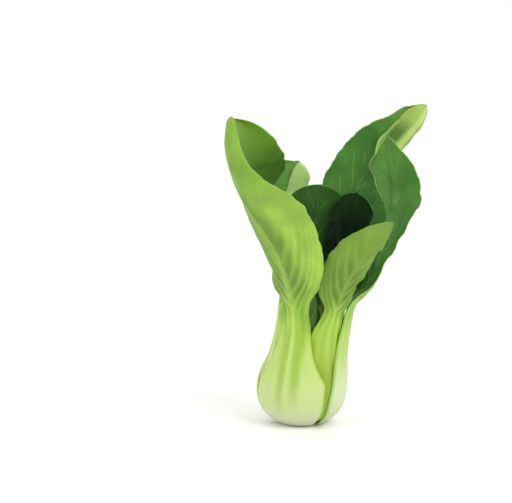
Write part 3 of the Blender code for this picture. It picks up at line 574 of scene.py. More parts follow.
def leaf_grid(leaf, rib, station, t):
    """Outer and inner face of a leaf as grids of points, and the fields that its material reads."""
    m = rows_at(rib, "m", station)
    along = unit(rows_at(rib, "along", station))
    n0 = rows_at(rib, "normal", station)
    n0 = unit(n0 - along * np.sum(n0 * along, 1, keepdims=True))
    arc = np.interp(station, rib["station"], rib["arc"])
    above = arc - rib["arc_neck"]
    turn = np.radians(profile(leaf["twist"], station))[:, None]
    normal = n0 * np.cos(turn) + np.cross(along, n0) * np.sin(turn)

    z_top = leaf["neck"] + WHORL_ABOVE
    z = np.where(station > 1.3, z_top, np.minimum(m[:, 2], z_top))
    az = profile(leaf["azimuth"], z)
    half_angle = profile(leaf["half_angle"], z)
    radius = whorl_radius(leaf, az, z)
    stalk_half = np.radians(half_angle) * radius
    blade = smooth(BLADE_FROM, BLADE_FULL, station)
    free_share = smooth(FREE_FROM, FREE_FULL, station)[:, None, None]
    sheet, outward, half = blade_sheet(leaf, m, along, normal, arc, station, t, blade, stalk_half, radius)
    w = half * t[None]
    ut = np.abs(t)[None]
    veins, apart, thick = vein_grid(leaf, station, t, arc, above, half)
    ridge, quilt = vein_relief(veins, apart, thick, above, ut, w)

    # the stalk, which lies in its whorl
    angle = az[:, None] + np.degrees(w / radius[:, None])
    height = z[:, None] + 0.0 * angle
    grooves = profile(leaf["grooves"], station[:, None]) * smooth(1.0, 0.8, ut)
    grooves = grooves * (0.5 - 0.5 * np.cos(rib_wave(leaf, station[:, None], t[None])))
    full = whorl_radius(leaf, angle, height)
    spread = np.clip(np.degrees(w / radius[:, None]) / half_angle[:, None], -1.0, 1.0)
    room = full - profile(CORE, height) - GAP
    stalk_out = ring_points(full - grooves, angle, height)
    stalk_in = ring_points(full - np.minimum(stalk_wall(leaf, height, spread), room), angle, height)

    # the blade, which is thickest along the midrib
    sheet_normal = np.cross(np.gradient(sheet, axis=1), np.gradient(sheet, axis=0))
    flip = np.sign(np.sum(sheet_normal * outward, 2, keepdims=True))
    sheet_normal = unit(sheet_normal) * np.where(flip == 0.0, 1.0, flip)
    bl = blade[:, None]
    keel_half = (1.0 - bl) * stalk_half[:, None] + bl * profile(leaf["keel_half"], station)[:, None]
    hump = (1.0 - np.clip(np.abs(w) / keel_half, 0.0, 1.0) ** 2) ** (1.0 + 0.8 * bl)
    stalk_mid = profile(STALK_WALL[leaf["whorl"]], z)[:, None] - STALK_EDGE
    keel = ((1.0 - bl) * stalk_mid + bl * profile(leaf["keel"], station)[:, None]) * hump
    thin = (1.0 - bl) * STALK_EDGE + bl * leaf["lamina"]
    raised = RAISED * bl
    free_out = sheet + sheet_normal * (keel * raised - grooves + quilt + ridge)[..., None]
    free_in = sheet - sheet_normal * (thin + keel * (1.0 - raised) - quilt - 0.4 * ridge)[..., None]
    outer = (1.0 - free_share) * stalk_out + free_share * free_out
    inner = (1.0 - free_share) * stalk_in + free_share * free_in

    # the margin, rounded by drawing both faces together
    margin = np.clip((1.0 - ut) * half / (RIM + STALK_RIM * (1.0 - bl)), 0.0, 1.0)
    full_share = MARGIN_LEFT + (1.0 - MARGIN_LEFT) * np.sqrt(1.0 - (1.0 - margin) ** 2)
    middle = inner + (outer - inner) * 0.5 * free_share
    outer = middle + (outer - middle) * full_share[..., None]
    inner = middle + (inner - middle) * full_share[..., None]
    level = np.zeros_like(half)
    rib_width = keel_half * (RIB_STALK * (1.0 - bl) + RIB_BLADE * bl)
    fields = dict(
        place=np.stack([station[:, None] + level, t[None] + level, level], -1),
        veins=np.stack([veins, apart, thick], -1),
        flat=np.stack([w, above[:, None] + level, rib_width + level], -1))
    return outer, inner, fields


def shell_of(nr, nc):
    """Faces of a closed shell from two grids of points and the rim between them."""
    i, j = np.meshgrid(np.arange(nr - 1), np.arange(nc - 1), indexing="ij")
    a = (i * nc + j).ravel()
    b, d = a + 1, a + nc
    c = d + 1
    back = nr * nc
    left = np.arange(nr - 1) * nc
    right = left + nc - 1
    foot = np.arange(nc - 1)
    top = (nr - 1) * nc + foot
    corners = [(a, b, c, d), (a + back, d + back, c + back, b + back),
               (left, left + nc, left + nc + back, left + back),
               (right, right + back, right + nc + back, right + nc),
               (foot, foot + back, foot + 1 + back, foot + 1), (top, top + 1, top + 1 + back, top + back)]
    return sum([np.stack(four, 1).tolist() for four in corners], [])


def drawn_in(verts):
    """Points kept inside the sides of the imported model's box, which the ripples and veins just pass."""
    for axis in (0, 1):
        for way, corner in ((-1.0, cad_box[0]), (1.0, cad_box[1])):
            start = way * corner[axis] / MM - BOX_ZONE
            past = np.maximum(way * verts[:, axis] - start, 0.0)
            verts[:, axis] -= way * past * BOX_OVER / (BOX_ZONE + BOX_OVER)
    return verts


def grow_leaf(leaf, mat):
    """The fine mesh of a leaf, with the fields that its material reads, in the place of its solid."""
    whorls.append(leaf)
    rib = midrib(leaf)
    station, t = rows_of(leaf, rib), columns_of(leaf)
    outer, inner, fields = leaf_grid(leaf, rib, station, t)
    verts = drawn_in(np.concatenate([outer.reshape(-1, 3), inner.reshape(-1, 3)]))
    obj = add_mesh(leaf["name"] + "_skin", verts, shell_of(len(station), len(t)), mat)
    for name, values in fields.items():
        both = np.concatenate([values.reshape(-1, 3)] * 2)
        if name == "place":
            both[len(both) // 2:, 2] = 1.0
        attribute = obj.data.attributes.new(name, "FLOAT_VECTOR", "POINT")
        attribute.data.foreach_set("vector", both.astype(np.float32).ravel())
    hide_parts(leaf["name"])
    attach(obj, "root")


def darker(rgb, share):
    return [c * share for c in rgb]


def window(tree, value, start, full, end, gone):
    """Smooth rise from start to full and fall again from end to gone."""
    return times(tree, soft_step(tree, value, start, full), soft_step(tree, value, gone, end))


def vector_node(tree, operation, a, b):
    return add_node(tree, "ShaderNodeVectorMath", {0: a, 1: b}, operation=operation).outputs[0]


def vein_lines_group():
    """Lines of a real width along the whole vein numbers: 1 on a vein, 0 beside it."""
    group, given, out = new_group("leaf_vein_lines", [("Veins", None), ("Shift", 0.0), ("Sway", 0.0),
                                                      ("Width", 1.0), ("Soft", 0.25)], ["Line"])
    number, apart, thick = split(group, given["Veins"])
    number = plus(group, plus(group, number, given["Shift"]), given["Sway"])
    away = times(group, math_node(group, "PINGPONG", number, 0.5), apart)
    half = times(group, thick, given["Width"])
    line = soft_step(group, away, times(group, half, 0.3), plus(group, half, given["Soft"]), 1.0, 0.0)
    group.links.new(times(group, line, soft_step(group, half, 0.03, 0.2)), out["Line"])
    return group


def vein_net_group():
    """Fine network that joins the veins: Line is 1 on it, Dome rises between its threads."""
    group, given, out = new_group("leaf_vein_net", [("Flat", None), ("Scale", 0.4)], ["Line", "Dome"])
    warp = add_node(group, "ShaderNodeTexNoise", {"Vector": given["Flat"], "Scale": 0.35, "Detail": 2.0})
    push = vector_node(group, "SUBTRACT", warp.outputs["Color"], (0.5, 0.5, 0.5))
    bent = vector_node(group, "ADD", given["Flat"], vector_node(group, "MULTIPLY", push, (3.0, 3.0, 3.0)))
    cell = {"Vector": bent, "Scale": given["Scale"], "Randomness": 0.9}
    cells = add_node(group, "ShaderNodeTexVoronoi", cell, feature="DISTANCE_TO_EDGE",
                     voronoi_dimensions="2D").outputs["Distance"]
    group.links.new(soft_step(group, cells, 0.0, 0.1, 1.0, 0.0), out["Line"])
    group.links.new(soft_step(group, cells, 0.0, 0.35), out["Dome"])
    return group


VEIN_LINES = vein_lines_group()
VEIN_NET = vein_net_group()
STALK_GREENS = ((0.03, (200, 205, 170)), (0.15, (190, 204, 136)), (0.3, (180, 203, 110)),
                (0.5, (160, 198, 74)))
# painted highlight on the ribs of a stalk, and the green of the painted shade in its grooves, along its
# margins and in its broad stripes
RIB_HIGHLIGHT = (214, 224, 162)
STALK_SHADE = (132, 172, 22)
STALK_INSIDE = (196, 212, 130)
FLAP_PALE = (188, 210, 124)
UNDER_MOTTLE_AND_SHADE = 0.77      # darkness of the mottling and of the painted shade below
UPPER_SHADE = 0.72      # and of the mottling above
CREASE_SHADE = 0.62     # and of the painted shade lines beside the midrib and between the veins
NET_SHARE = 0.07        # how strongly the fine net between the veins shows
LEAF_GLOW = {"Subsurface Weight": 0.15, "Subsurface Radius": (0.7, 1.0, 0.25), "Subsurface Scale": 0.0025,
             "Coat Weight": 0.06, "Coat Roughness": 0.35}


def leaf_material(name, under, upper, vein_under, vein_upper, greens=STALK_GREENS, groove=0.9, edge=0.8,
                  share_under=0.3, share_upper=0.4, tip_light=0.15, bands=(), lee=0.0, sunny=None,
                  hollow_shade=None, shine=0.3):
    """Waxy skin of a leaf: pale ribbed stalk running into a veined green blade, lighter below than above.

    under and upper are the colours of its faces, and veins show on them by their own colours and shares.
    greens are the stalk's colours from its base to its neck; groove is how strongly painted shade greens it
    between its ribs and painted highlight pales its ribs, edge how strongly painted shade greens its margins,
    bands its broad stripes of painted shade (place and half width in mm, first and last station, share).
    tip_light is how far painted light pales the upper face at the tip, lee how strongly painted shade darkens
    the underside beside the midrib and over the half turned from the light, sunny the colour of painted light
    on the half that faces the light, hollow the colour of painted shade inside a rolled margin.
    """
    mat, tree, shader = new_material(name)
    place, veins, flat = [add_node(tree, "ShaderNodeAttribute", attribute_name=key).outputs["Vector"]
                          for key in ("place", "veins", "flat")]
    station, across, inner = split(tree, place)
    from_rib, height, rib_width = split(tree, flat)
    number = split(tree, veins)[0]
    aside = math_node(tree, "ABSOLUTE", across)
    outer_side = math_node(tree, "SUBTRACT", 1.0, inner)
    mottle = use_group(tree, FLESH_MOTTLE, {"Place": flat, "Scale": 0.06})
    slow, fine = mottle["Slow"], mottle["Fine"]
    streak = vector_node(tree, "MULTIPLY", flat, (1.0, 0.04, 0.0))
    uneven = soft_step(tree, noise(tree, streak, 0.2), 0.36, 0.6, 0.35, 1.0)
    in_groove = soft_step(tree, math_node(tree, "PINGPONG", number, 0.5), 0.1, 0.46)
    on_rib = math_node(tree, "SUBTRACT", 1.0, in_groove)

    # stalk: pale below and greener towards the neck; painted shade greens its grooves, which are deepest down
    # the middle, and a painted highlight pales its ribs
    ramp = add_node(tree, "ShaderNodeValToRGB", {"Fac": times(tree, station, 0.5)})
    ramp.color_ramp.interpolation = "EASE"
    for k, (at, rgb) in enumerate(greens):
        stop = ramp.color_ramp.elements[k] if k < 2 else ramp.color_ramp.elements.new(at)
        stop.position = at
        stop.color = colour(rgb)
    seen = times(tree, soft_step(tree, aside, 0.22, 0.6, 1.0, 0.3), uneven, outer_side)
    groove_share = times(tree, in_groove, soft_step(tree, station, 0.3, 0.68, 0.0, groove), seen)
    rib_share = times(tree, on_rib, soft_step(tree, station, 0.35, 0.75, 0.0, 0.7 * groove), seen)
    stalk = laid_over(tree, ramp.outputs["Color"], groove_share, STALK_SHADE)
    stalk = laid_over(tree, stalk, rib_share, RIB_HIGHLIGHT)
    # broad stripes of painted shade
    for place_mm, half_mm, low, high, share in bands:
        off = math_node(tree, "ABSOLUTE", math_node(tree, "SUBTRACT", from_rib, place_mm))
        band = times(tree, soft_step(tree, off, 0.1 * half_mm, half_mm, share, 0.0), outer_side,
                     window(tree, station, low, low + 0.36, high - 0.2, high))
        stalk = laid_over(tree, stalk, band, STALK_SHADE)
    # painted shade along the stalk's margins, where it meets the next stalk
    stalk = laid_over(tree, stalk, soft_step(tree, aside, 0.88, 1.0, 0.0, edge), STALK_SHADE)
    inside_share = times(tree, inner, soft_step(tree, station, 0.5, 1.0, 0.8, 0.2))
    stalk = laid_over(tree, stalk, inside_share, STALK_INSIDE)

    # underside: mottled, with painted shade in the folds that fan out of the neck, beside the midrib and over
    # the half turned from the light, and painted light on the half that faces it
    cloud = plus(tree, times(tree, slow, 0.5), times(tree, fine, 0.2))
    near_neck = soft_step(tree, height, 4.0, 62.0, 1.0, 0.0)
    # painted shade in the folds near the neck
    fold_shade = times(tree, in_groove, near_neck, soft_step(tree, aside, 0.35, 0.8, 0.45, 0.1))
    # painted shade beside the midrib and over the half turned from the light
    beside = times(tree, window(tree, from_rib, 0.4, 3.0, 3.5, 10.0),
                   window(tree, height, 8.0, 40.0, 60.0, 95.0))
    side_shade = math_node(tree, "MAXIMUM", beside, soft_step(tree, from_rib, 0.5, -9.0, 0.0, 0.7))
    shade = math_node(tree, "ADD", cloud, plus(tree, fold_shade, times(tree, side_shade, lee)), clamp=True)
    lit = colour(under)
    if sunny:
        sun = times(tree, soft_step(tree, from_rib, 6.0, 15.0), soft_step(tree, height, 85.0, 52.0))
        lit = laid_over(tree, lit, sun, sunny)
    below = laid_over(tree, lit, shade, darker(under, UNDER_MOTTLE_AND_SHADE))
    sway = soft_step(tree, noise(tree, flat, 0.09), 0.2, 0.8, -0.11, 0.11)
    # painted shade in the creases between the veins near the neck
    crease_shade = {"Veins": veins, "Shift": 0.5, "Sway": sway, "Width": 0.4, "Soft": 0.5}
    crease_shade = times(tree, use_group(tree, VEIN_LINES, crease_shade)["Line"], near_neck, uneven,
                   soft_step(tree, aside, 0.6, 0.2, 0.0, 0.36))
    # a thin line of painted shade along the side of the midrib
    off_rib = math_node(tree, "ABSOLUTE", math_node(tree, "SUBTRACT", from_rib, 1.6))
    rib_shade_line = times(tree, soft_step(tree, off_rib, 0.1, 1.1, lee, 0.0),
                      window(tree, height, 2.0, 18.0, 60.0, 92.0))
    below = laid_over(tree, below, math_node(tree, "MAXIMUM", crease_shade, rib_shade_line), darker(under, CREASE_SHADE))

    # upper face: darker, with painted light paling it again at the tip
    above = laid_over(tree, colour(upper), cloud, darker(upper, UPPER_SHADE))
    above = laid_over(tree, above, soft_step(tree, station, 1.7, 1.98, 0.0, tip_light), under)
    blade = mix_colours(tree, inner, below, above)

    # veins: soft and strongest near the neck below, thin and broken above, joined by a fine net
    net = use_group(tree, VEIN_NET, {"Flat": flat, "Scale": 0.42})
    vein_colour = mix_colours(tree, inner, colour(vein_under), colour(vein_upper))
    main = {"Veins": veins, "Sway": sway, "Width": 0.75, "Soft": 0.22}
    branch = {"Veins": veins, "Shift": 0.5, "Sway": sway, "Width": 0.35, "Soft": 0.14}
    branch = times(tree, use_group(tree, VEIN_LINES, branch)["Line"],
                   soft_step(tree, aside, 0.3, 0.6, 0.0, 0.5))
    lines = math_node(tree, "MAXIMUM", use_group(tree, VEIN_LINES, main)["Line"], branch)
    share_low = soft_step(tree, near_neck, 0.0, 1.0, 0.4 * share_under, share_under)
    share_high = times(tree, soft_step(tree, slow, 0.25, 0.75, 1.0, 0.12),
                       soft_step(tree, near_neck, 0.0, 1.0, 0.5 * share_upper, share_upper))
    share = plus(tree, times(tree, share_low, outer_side), times(tree, share_high, inner))
    rib_half = times(tree, rib_width, soft_step(tree, inner, 0.0, 1.0, 0.9, 0.45))
    near = math_node(tree, "ABSOLUTE", from_rib)
    middle = times(tree, soft_step(tree, near, times(tree, rib_half, 0.3), rib_half, 1.0, 0.0),
                   soft_step(tree, station, 1.2, 1.9, 1.0, 0.35))
    middle = math_node(tree, "MULTIPLY", middle, times(tree, share, 1.5), clamp=True)
    veined = math_node(tree, "MAXIMUM", times(tree, lines, share), middle)
    veined = math_node(tree, "MAXIMUM", veined, times(tree, net["Line"], NET_SHARE))
    blade = mix_colours(tree, veined, blade, vein_colour)
    # a thin pale rim along the margin: a painted highlight of the edge
    blade = mix_colours(tree, soft_step(tree, aside, 0.98, 1.0, 0.0, 0.3), blade, vein_colour)
    # a pale stripe along a rolled margin, and painted shade in the hollow inside the roll
    if hollow_shade:
        rolled = times(tree, outer_side, soft_step(tree, station, 1.5, 1.62),
                       soft_step(tree, across, 0.0, -0.1))
        stripe = times(tree, window(tree, aside, 0.4, 0.46, 0.54, 0.62), rolled, 0.8)
        blade = laid_over(tree, blade, stripe, FLAP_PALE)
        deep = times(tree, window(tree, aside, 0.58, 0.7, 0.88, 0.99), soft_step(tree, station, 1.92, 1.82))
        blade = laid_over(tree, blade, times(tree, deep, rolled, 0.92), hollow_shade)

    # the green comes down between the ribs and at the margins
    reach = plus(tree, station, times(tree, soft_step(tree, aside, 0.2, 1.0), 0.14))
    reach = plus(tree, reach, times(tree, in_groove, 0.06))
    skin = mix_colours(tree, soft_step(tree, reach, 0.93, 1.2), stalk, blade)
    rough = plus(tree, soft_step(tree, fine, 0.3, 0.7, 0.42, 0.56), times(tree, slow, 0.05))
    relief = times(tree, plus(tree, net["Dome"], veined), soft_step(tree, station, 0.95, 1.15))
    relief = plus(tree, relief, times(tree, noise(tree, streak, 1.6, 2.0), 0.8))
    relief = plus(tree, relief, times(tree, fine, 0.35))
    fixed = dict(LEAF_GLOW, **{"Specular IOR Level": shine})
    link_skin(tree, shader, skin, rough, relief, 0.4, 0.00018, fixed)
    return mat


leaf = dict(
    OUTER_WHORL, name="outer_leaf_front_left", rib_phase=0.3, scallop=0.009, tip=0.15,
    azimuth=((0, 247), (26, 247), (45, 241), (55, 239), (63, 236), (71, 232), (90, 231)),
    half_angle=((0, 50), (13, 53), (26, 53), (33, 46), (41, 38), (55, 29), (63, 27), (71, 25), (90, 29)),
    spine=((-8.5, -23, 88), (-16.5, -29, 110), (-32, -33, 134), (-42.5, -31, 157), (-43.8, -25, 174),
           (-42, -18, 186)),
    left=((1, 11), (1.045, 12), (1.08, 19), (1.18, 21), (1.28, 31), (1.42, 42), (1.52, 48.5), (1.6, 49.5),
          (1.68, 44.5), (1.76, 38.5), (1.87, 34), (2, 31)),
    right=((1, 10), (1.04, 12), (1.1, 18), (1.25, 26.5), (1.4, 30.5), (1.52, 29.5), (1.62, 26), (1.75, 22),
           (1.88, 19), (2, 15)),
    cup_left=((1, 32), (1.1, 40), (1.25, 70), (1.45, 108), (1.62, 104), (1.75, 96), (1.87, 86), (2, 78)),
    cup_right=((1, 32), (1.1, 42), (1.25, 62), (1.4, 72), (1.6, 82), (1.75, 108), (1.88, 146), (2, 156)),
    twist=((1, 0), (1.35, 0), (1.53, -18), (1.7, -52), (1.8, -72), (1.88, -86), (2, -104)),
    waves=((1.3, 34, 0.5, 2.5), (0.5, 15, 1.5, 5)),
)
# painted shade in broad stripes down the front left stalk: two in its grooves, one at the right of its neck
# where the blade's margin folds
front_bands = ((-4.0, 4.4, 0.1, 0.98, 0.6), (5.0, 5.2, 0.16, 1.4, 0.72), (9.5, 5.0, 0.66, 1.5, 0.9))
# lee, sunny and tip_light lay painted shade and painted light on this leaf
wax = leaf_material("front_left_wax_skin", (130, 172, 54), (92, 140, 46), (172, 210, 100), (140, 182, 84),
                    groove=0.2, share_under=0.25, tip_light=0.6, bands=front_bands, lee=0.45,
                    sunny=(160, 200, 74))
grow_leaf(leaf, wax)


# Outer leaf, right.  Its stalk forms the right side of the bulb; above the neck the blade turns its dark
# upper face to the front, so the pale midrib and the rolled right margin are seen.

leaf = dict(
    OUTER_WHORL, name="outer_leaf_right", rib_phase=1, scallop_step=10, tip=0.2,
    azimuth=((0, 2), (26, 1), (41, -4), (57, -8), (71, -8), (90, -8)),
    half_angle=((0, 52), (13, 55), (26, 51), (41, 44), (57, 37), (71, 31), (90, 30)),
    spine=((40.8, -2.2, 85), (48.6, 0, 103), (54, 3, 120), (55.6, 5.5, 136), (54.5, 6, 150), (52, 4, 163),
           (50.5, 1, 174)),
    left=((1, 11), (1.04, 11), (1.08, 13), (1.16, 11), (1.3, 8), (1.4, 9.5), (1.5, 14.5), (1.65, 20.5),
          (1.78, 20.5), (1.88, 15), (2, 8)),
    right=((1, 12), (1.1, 14), (1.25, 11), (1.4, 7.5), (1.52, 4.5), (1.59, 5), (1.66, 9.5), (1.75, 13.5),
           (1.85, 14), (1.93, 9), (2, 5)),
    cup_left=((1, 30), (1.2, 30), (1.4, 30), (2, 28)),
    cup_right=((1, 30), (1.2, 40), (1.5, 40), (2, 40)),
    roll_right=((1, 0), (1.5, 0), (1.65, 50), (1.85, 60), (2, 30)),
    twist=((0.95, 0), (1.05, 10), (1.15, 28), (1.3, 47), (1.5, 60), (1.7, 66), (2, 66)),
    keel_half=((1, 12), (1.2, 8), (1.5, 4.5), (1.8, 2.4), (2, 1.6)),
    waves=((0.9, 30, 2.5, 2.5), (0.45, 14, 0.5, 5)),
)
side_greens = ((0.03, (196, 202, 164)), (0.17, (198, 210, 164)), (0.36, (166, 194, 96)),
                (0.5, (146, 184, 76)))
wax = leaf_material("right_wax_skin", (140, 184, 70), (80, 136, 54), (196, 220, 132), (132, 178, 98),
                    greens=side_greens, groove=0.3, share_upper=0.55)
grow_leaf(leaf, wax)


# Outer leaf, back left.  Third leaf of the outer whorl, behind the front left one.  Its stalk closes the
# back of the bulb, and its left-hand margin is rolled forward into a pale lip.

leaf = dict(
    OUTER_WHORL, name="outer_leaf_back_left", rib_phase=2, tip=0.09, roll_start=0.3, roll_end=0.62,
    azimuth=((0, 127), (26, 127), (45, 128), (71, 128), (90, 128)),
    half_angle=((0, 51), (13, 53), (26, 52), (33, 47), (41, 39), (55, 31), (71, 30), (90, 32)),
    spine=((-7.5, 23, 88), (-10, 30, 110), (-9.5, 36, 130), (-5, 37, 144), (-1, 36, 155)),
    left=((1, 12), (1.1, 13.5), (1.3, 15), (1.5, 18.5), (1.7, 25), (1.85, 25), (2, 20)),
    right=((1, 12), (1.1, 13), (1.3, 14), (1.45, 17), (1.6, 21), (1.85, 23), (2, 22)),
    cup_left=((1, 32), (1.2, 36), (1.5, 38), (2, 38)),
    cup_right=((1, 32), (1.2, 36), (1.5, 40), (2, 40)),
    roll_left=((1, 0), (1.4, 10), (1.62, 140), (1.8, 165), (2, 165)),
    twist=((1, 0), (1.3, -10), (1.6, -24), (2, -30)),
    waves=((1.2, 32, 1.2, 2.5), (0.5, 15, 0.2, 5)),
)
wax = leaf_material("back_left_wax_skin", (172, 206, 120), (84, 144, 52), (196, 220, 140), (130, 180, 86),
                    edge=0.0)
grow_leaf(leaf, wax)


# Second whorl, front.  A small pointed leaf between the two front stalks: a bright wedge of stalk, and a
# blade that leans right with its veined underside to the front.

SECOND_WHORL = dict(
    whorl=2, base=4.6, inset=0,
    keel=((1, 2.9), (1.2, 2.2), (1.5, 1.4), (1.8, 0.7), (2, 0.3)),
    keel_half=((1, 10), (1.2, 7.5), (1.5, 4.4), (1.8, 2.4), (2, 1.5)),
    grooves=RIBBED, rib_count=4, scallop=0.01, scallop_step=10, lamina=0.8, roll_start=0.7, tip=0.45,
)
leaf = dict(
    SECOND_WHORL, name="second_leaf_front", neck=71, rib_phase=0, scallop=0.015, scallop_step=8.5,
    azimuth=((0, 303), (26, 304), (41, 298), (58, 294), (71, 298), (90, 300)),
    half_angle=((0, 46), (13, 50), (26, 50), (41, 40), (58, 28), (71, 18), (90, 16)),
    spine=((23.5, -23.5, 84), (31, -26, 98), (42, -27, 113), (53, -23, 124.5)),
    left=((1, 7.5), (1.06, 10), (1.15, 14), (1.35, 18), (1.6, 16.5), (1.8, 12.5), (2, 8)),
    right=((1, 7), (1.1, 10.5), (1.35, 12), (1.6, 11), (2, 7)),
    cup_left=((1, 20), (1.2, 30), (1.6, 34), (2, 30)),
    cup_right=((1, 20), (1.2, 55), (1.6, 70), (2, 50)),
    twist=((1, 0), (1.3, -14), (2, -22)),
    keel_half=((1, 7.5), (1.2, 6), (1.5, 3.8), (1.8, 2.2), (2, 1.5)),
    waves=((0.7, 24, 0.3, 2.5), (0.4, 12, 1.5, 5)),
)
wedge_greens = ((0.03, (136, 160, 40)), (0.2, (138, 164, 44)), (0.33, (150, 180, 58)),
                (0.5, (148, 186, 56)))
wax = leaf_material("second_front_wax_skin", (114, 152, 46), (74, 130, 46), (150, 186, 80), (150, 190, 90),
                    greens=wedge_greens, groove=0.25, share_under=0.2)
grow_leaf(leaf, wax)


# Second whorl, back right.  The tallest leaf: its dark upper face is open to the front, and the tip rolls
# over to the right and shows its yellow-green underside.

leaf = dict(
    SECOND_WHORL, name="second_leaf_back_right", neck=75, rib_phase=1, tip=0.1, roll_start=0.2,
    roll_end=0.5,
    azimuth=((0, 65), (26, 65), (45, 64), (75, 63), (92, 63)),
    half_angle=((0, 46), (13, 50), (26, 50), (41, 40), (58, 32), (75, 28), (92, 26)),
    spine=((20, 25, 97), (27, 31, 119), (35, 34, 140), (45.5, 34, 155), (57, 32, 168), (67, 29, 180),
           (76, 26, 190.5)),
    left=((1, 10), (1.15, 14), (1.25, 22), (1.35, 25.5), (1.45, 27.5), (1.6, 26.5), (1.8, 25), (1.93, 22),
          (2, 18)),
    right=((1, 10), (1.15, 14), (1.35, 19), (1.55, 22), (1.75, 20), (1.87, 12.5), (2, 6)),
    cup_left=((1, 28), (1.2, 34), (1.6, 20), (2, 20)),
    cup_right=((1, 28), (1.2, 34), (1.6, 30), (2, 30)),
    roll_left=((1, 0), (1.58, 0), (1.69, 120), (1.79, 168), (2, 170)),
    twist=((1, 0), (1.4, 15), (1.7, 20), (2, 20)),
    keel=((1, 2.9), (1.2, 2.2), (1.5, 1.4), (1.8, 0.8), (2, 0.3)),
    waves=((0.9, 34, 2, 2.5), (0.4, 14, 0.5, 5)),
)
# the dark colour inside the rolled tip is painted shade
wax = leaf_material("second_back_wax_skin", (156, 186, 88), (76, 136, 50), (186, 208, 124), (150, 194, 112),
                    share_upper=0.6, hollow_shade=(66, 108, 34), shine=0.2)
grow_leaf(leaf, wax)


# Second whorl, left.  A narrow leaf held between the two left-hand outer leaves, hardly seen from the front.
# Like every leaf it is one piece of stalk and blade, grown fast to the stem plate.

leaf = dict(
    SECOND_WHORL, name="second_leaf_left", neck=69, inset=0.4, rib_phase=2,
    azimuth=((0, 187), (26, 187), (45, 186), (69, 184), (85, 182)),
    half_angle=((0, 46), (13, 50), (26, 50), (41, 38), (58, 28), (69, 21), (85, 19)),
    spine=((-10.5, 0, 84), (-12, 2, 102), (-12.5, 4.5, 120), (-11, 6, 136)),
    left=((1, 8), (1.2, 8), (1.5, 9.5), (2, 9)),
    right=((1, 8), (1.2, 9), (1.5, 11), (2, 10)),
    cup_left=((1, 28), (1.2, 40), (1.6, 45), (2, 40)),
    cup_right=((1, 28), (1.2, 40), (1.6, 45), (2, 40)),
    twist=((1, 0), (1.4, -8), (2, -12)),
    waves=((0.7, 24, 2, 2.5), (0.35, 12, 0.5, 5)),
)
wax = leaf_material("second_left_wax_skin", (140, 186, 74), (64, 126, 48), (190, 220, 124), (150, 196, 96))
grow_leaf(leaf, wax)


# Third whorl, back.  A broad young leaf that stands in the middle of the head, deep green and in shade, its
# colours darkened with painted shade.  Its stalk is thin and smooth, without the ribs of the outer ones.

PLAIN = ((0, 0), (2, 0))
THIRD_WHORL = dict(
    whorl=3, base=7.5, neck=62, inset=0.8,
    keel=((1, 2.1), (1.2, 1.7), (1.5, 1.1), (1.8, 0.6), (2, 0.3)),
    keel_half=((1, 8), (1.2, 6), (1.5, 3.6), (1.8, 2.2), (2, 1.4)),
    grooves=PLAIN, rib_count=4, rib_phase=2, scallop=0.01, scallop_step=10, lamina=0.75, roll_start=0.7,
)
leaf = dict(
    THIRD_WHORL, name="third_leaf_back", tip=0.26,
    azimuth=((0, 125), (26, 125), (45, 125), (62, 125), (80, 125)),
    half_angle=((0, 46), (13, 50), (26, 48), (41, 36), (55, 29), (62, 25), (80, 22)),
    spine=((0, 16, 80), (4, 19, 100), (8.5, 21.5, 122), (12, 22, 142.5)),
    left=((1, 8), (1.2, 11), (1.5, 20), (1.75, 24), (2, 23)),
    right=((1, 8), (1.2, 12), (1.5, 19), (1.75, 23), (2, 22)),
    cup_left=((1, 32), (1.2, 34), (1.6, 24), (2, 22)),
    cup_right=((1, 32), (1.2, 32), (1.6, 27), (2, 26)),
    twist=((1, 0), (1.3, -22), (2, -34)),
    waves=((0.6, 24, 2, 2.5), (0.3, 12, 0.5, 5)),
)
# these colours are darkened with painted shade of the middle of the head
wax = leaf_material("third_back_wax_skin", (84, 132, 50), (40, 88, 22), (130, 172, 84), (112, 160, 84),
                    share_upper=0.6, shine=0.15)
grow_leaf(leaf, wax)


# Third whorl, right.  The young leaf beside it, half behind the right-hand outer leaf and in its shade; its
# upper face is coloured near black with painted shade, the darkest blade of all.  Its stalk is held between
# the second whorl and the heart.

leaf = dict(
    THIRD_WHORL, name="third_leaf_right", tip=0.14,
    azimuth=((0, 6), (26, 5), (45, 2), (62, 1), (80, 1)),
    half_angle=((0, 46), (13, 50), (26, 48), (41, 36), (55, 27), (62, 23), (80, 20)),
    spine=((22.8, 6, 80), (25.2, 11.5, 100), (29.8, 15, 120), (34, 15, 138)),
    left=((1, 8), (1.2, 7.5), (1.5, 12), (1.8, 16), (2, 16)),
    right=((1, 8), (1.2, 10), (1.5, 13), (1.8, 13), (2, 12)),
    cup_left=((1, 30), (1.2, 40), (1.6, 40), (2, 36)),
    cup_right=((1, 30), (1.2, 40), (1.6, 40), (2, 36)),
    twist=((1, 0), (1.15, 20), (1.4, 58), (2, 70)),
    waves=((0.5, 24, 1, 2.5), (0.3, 12, 0.5, 5)),
)
# its near-black upper colour is painted shade
wax = leaf_material("third_right_wax_skin", (64, 112, 44), (4, 30, 6), (110, 156, 76), (40, 80, 34),
                    share_upper=0.25, shine=0.1)
grow_leaf(leaf, wax)


# Third whorl, front.  A short young leaf against the inside of the front left stalk; only its blade is seen
# in the notch between the two front necks.

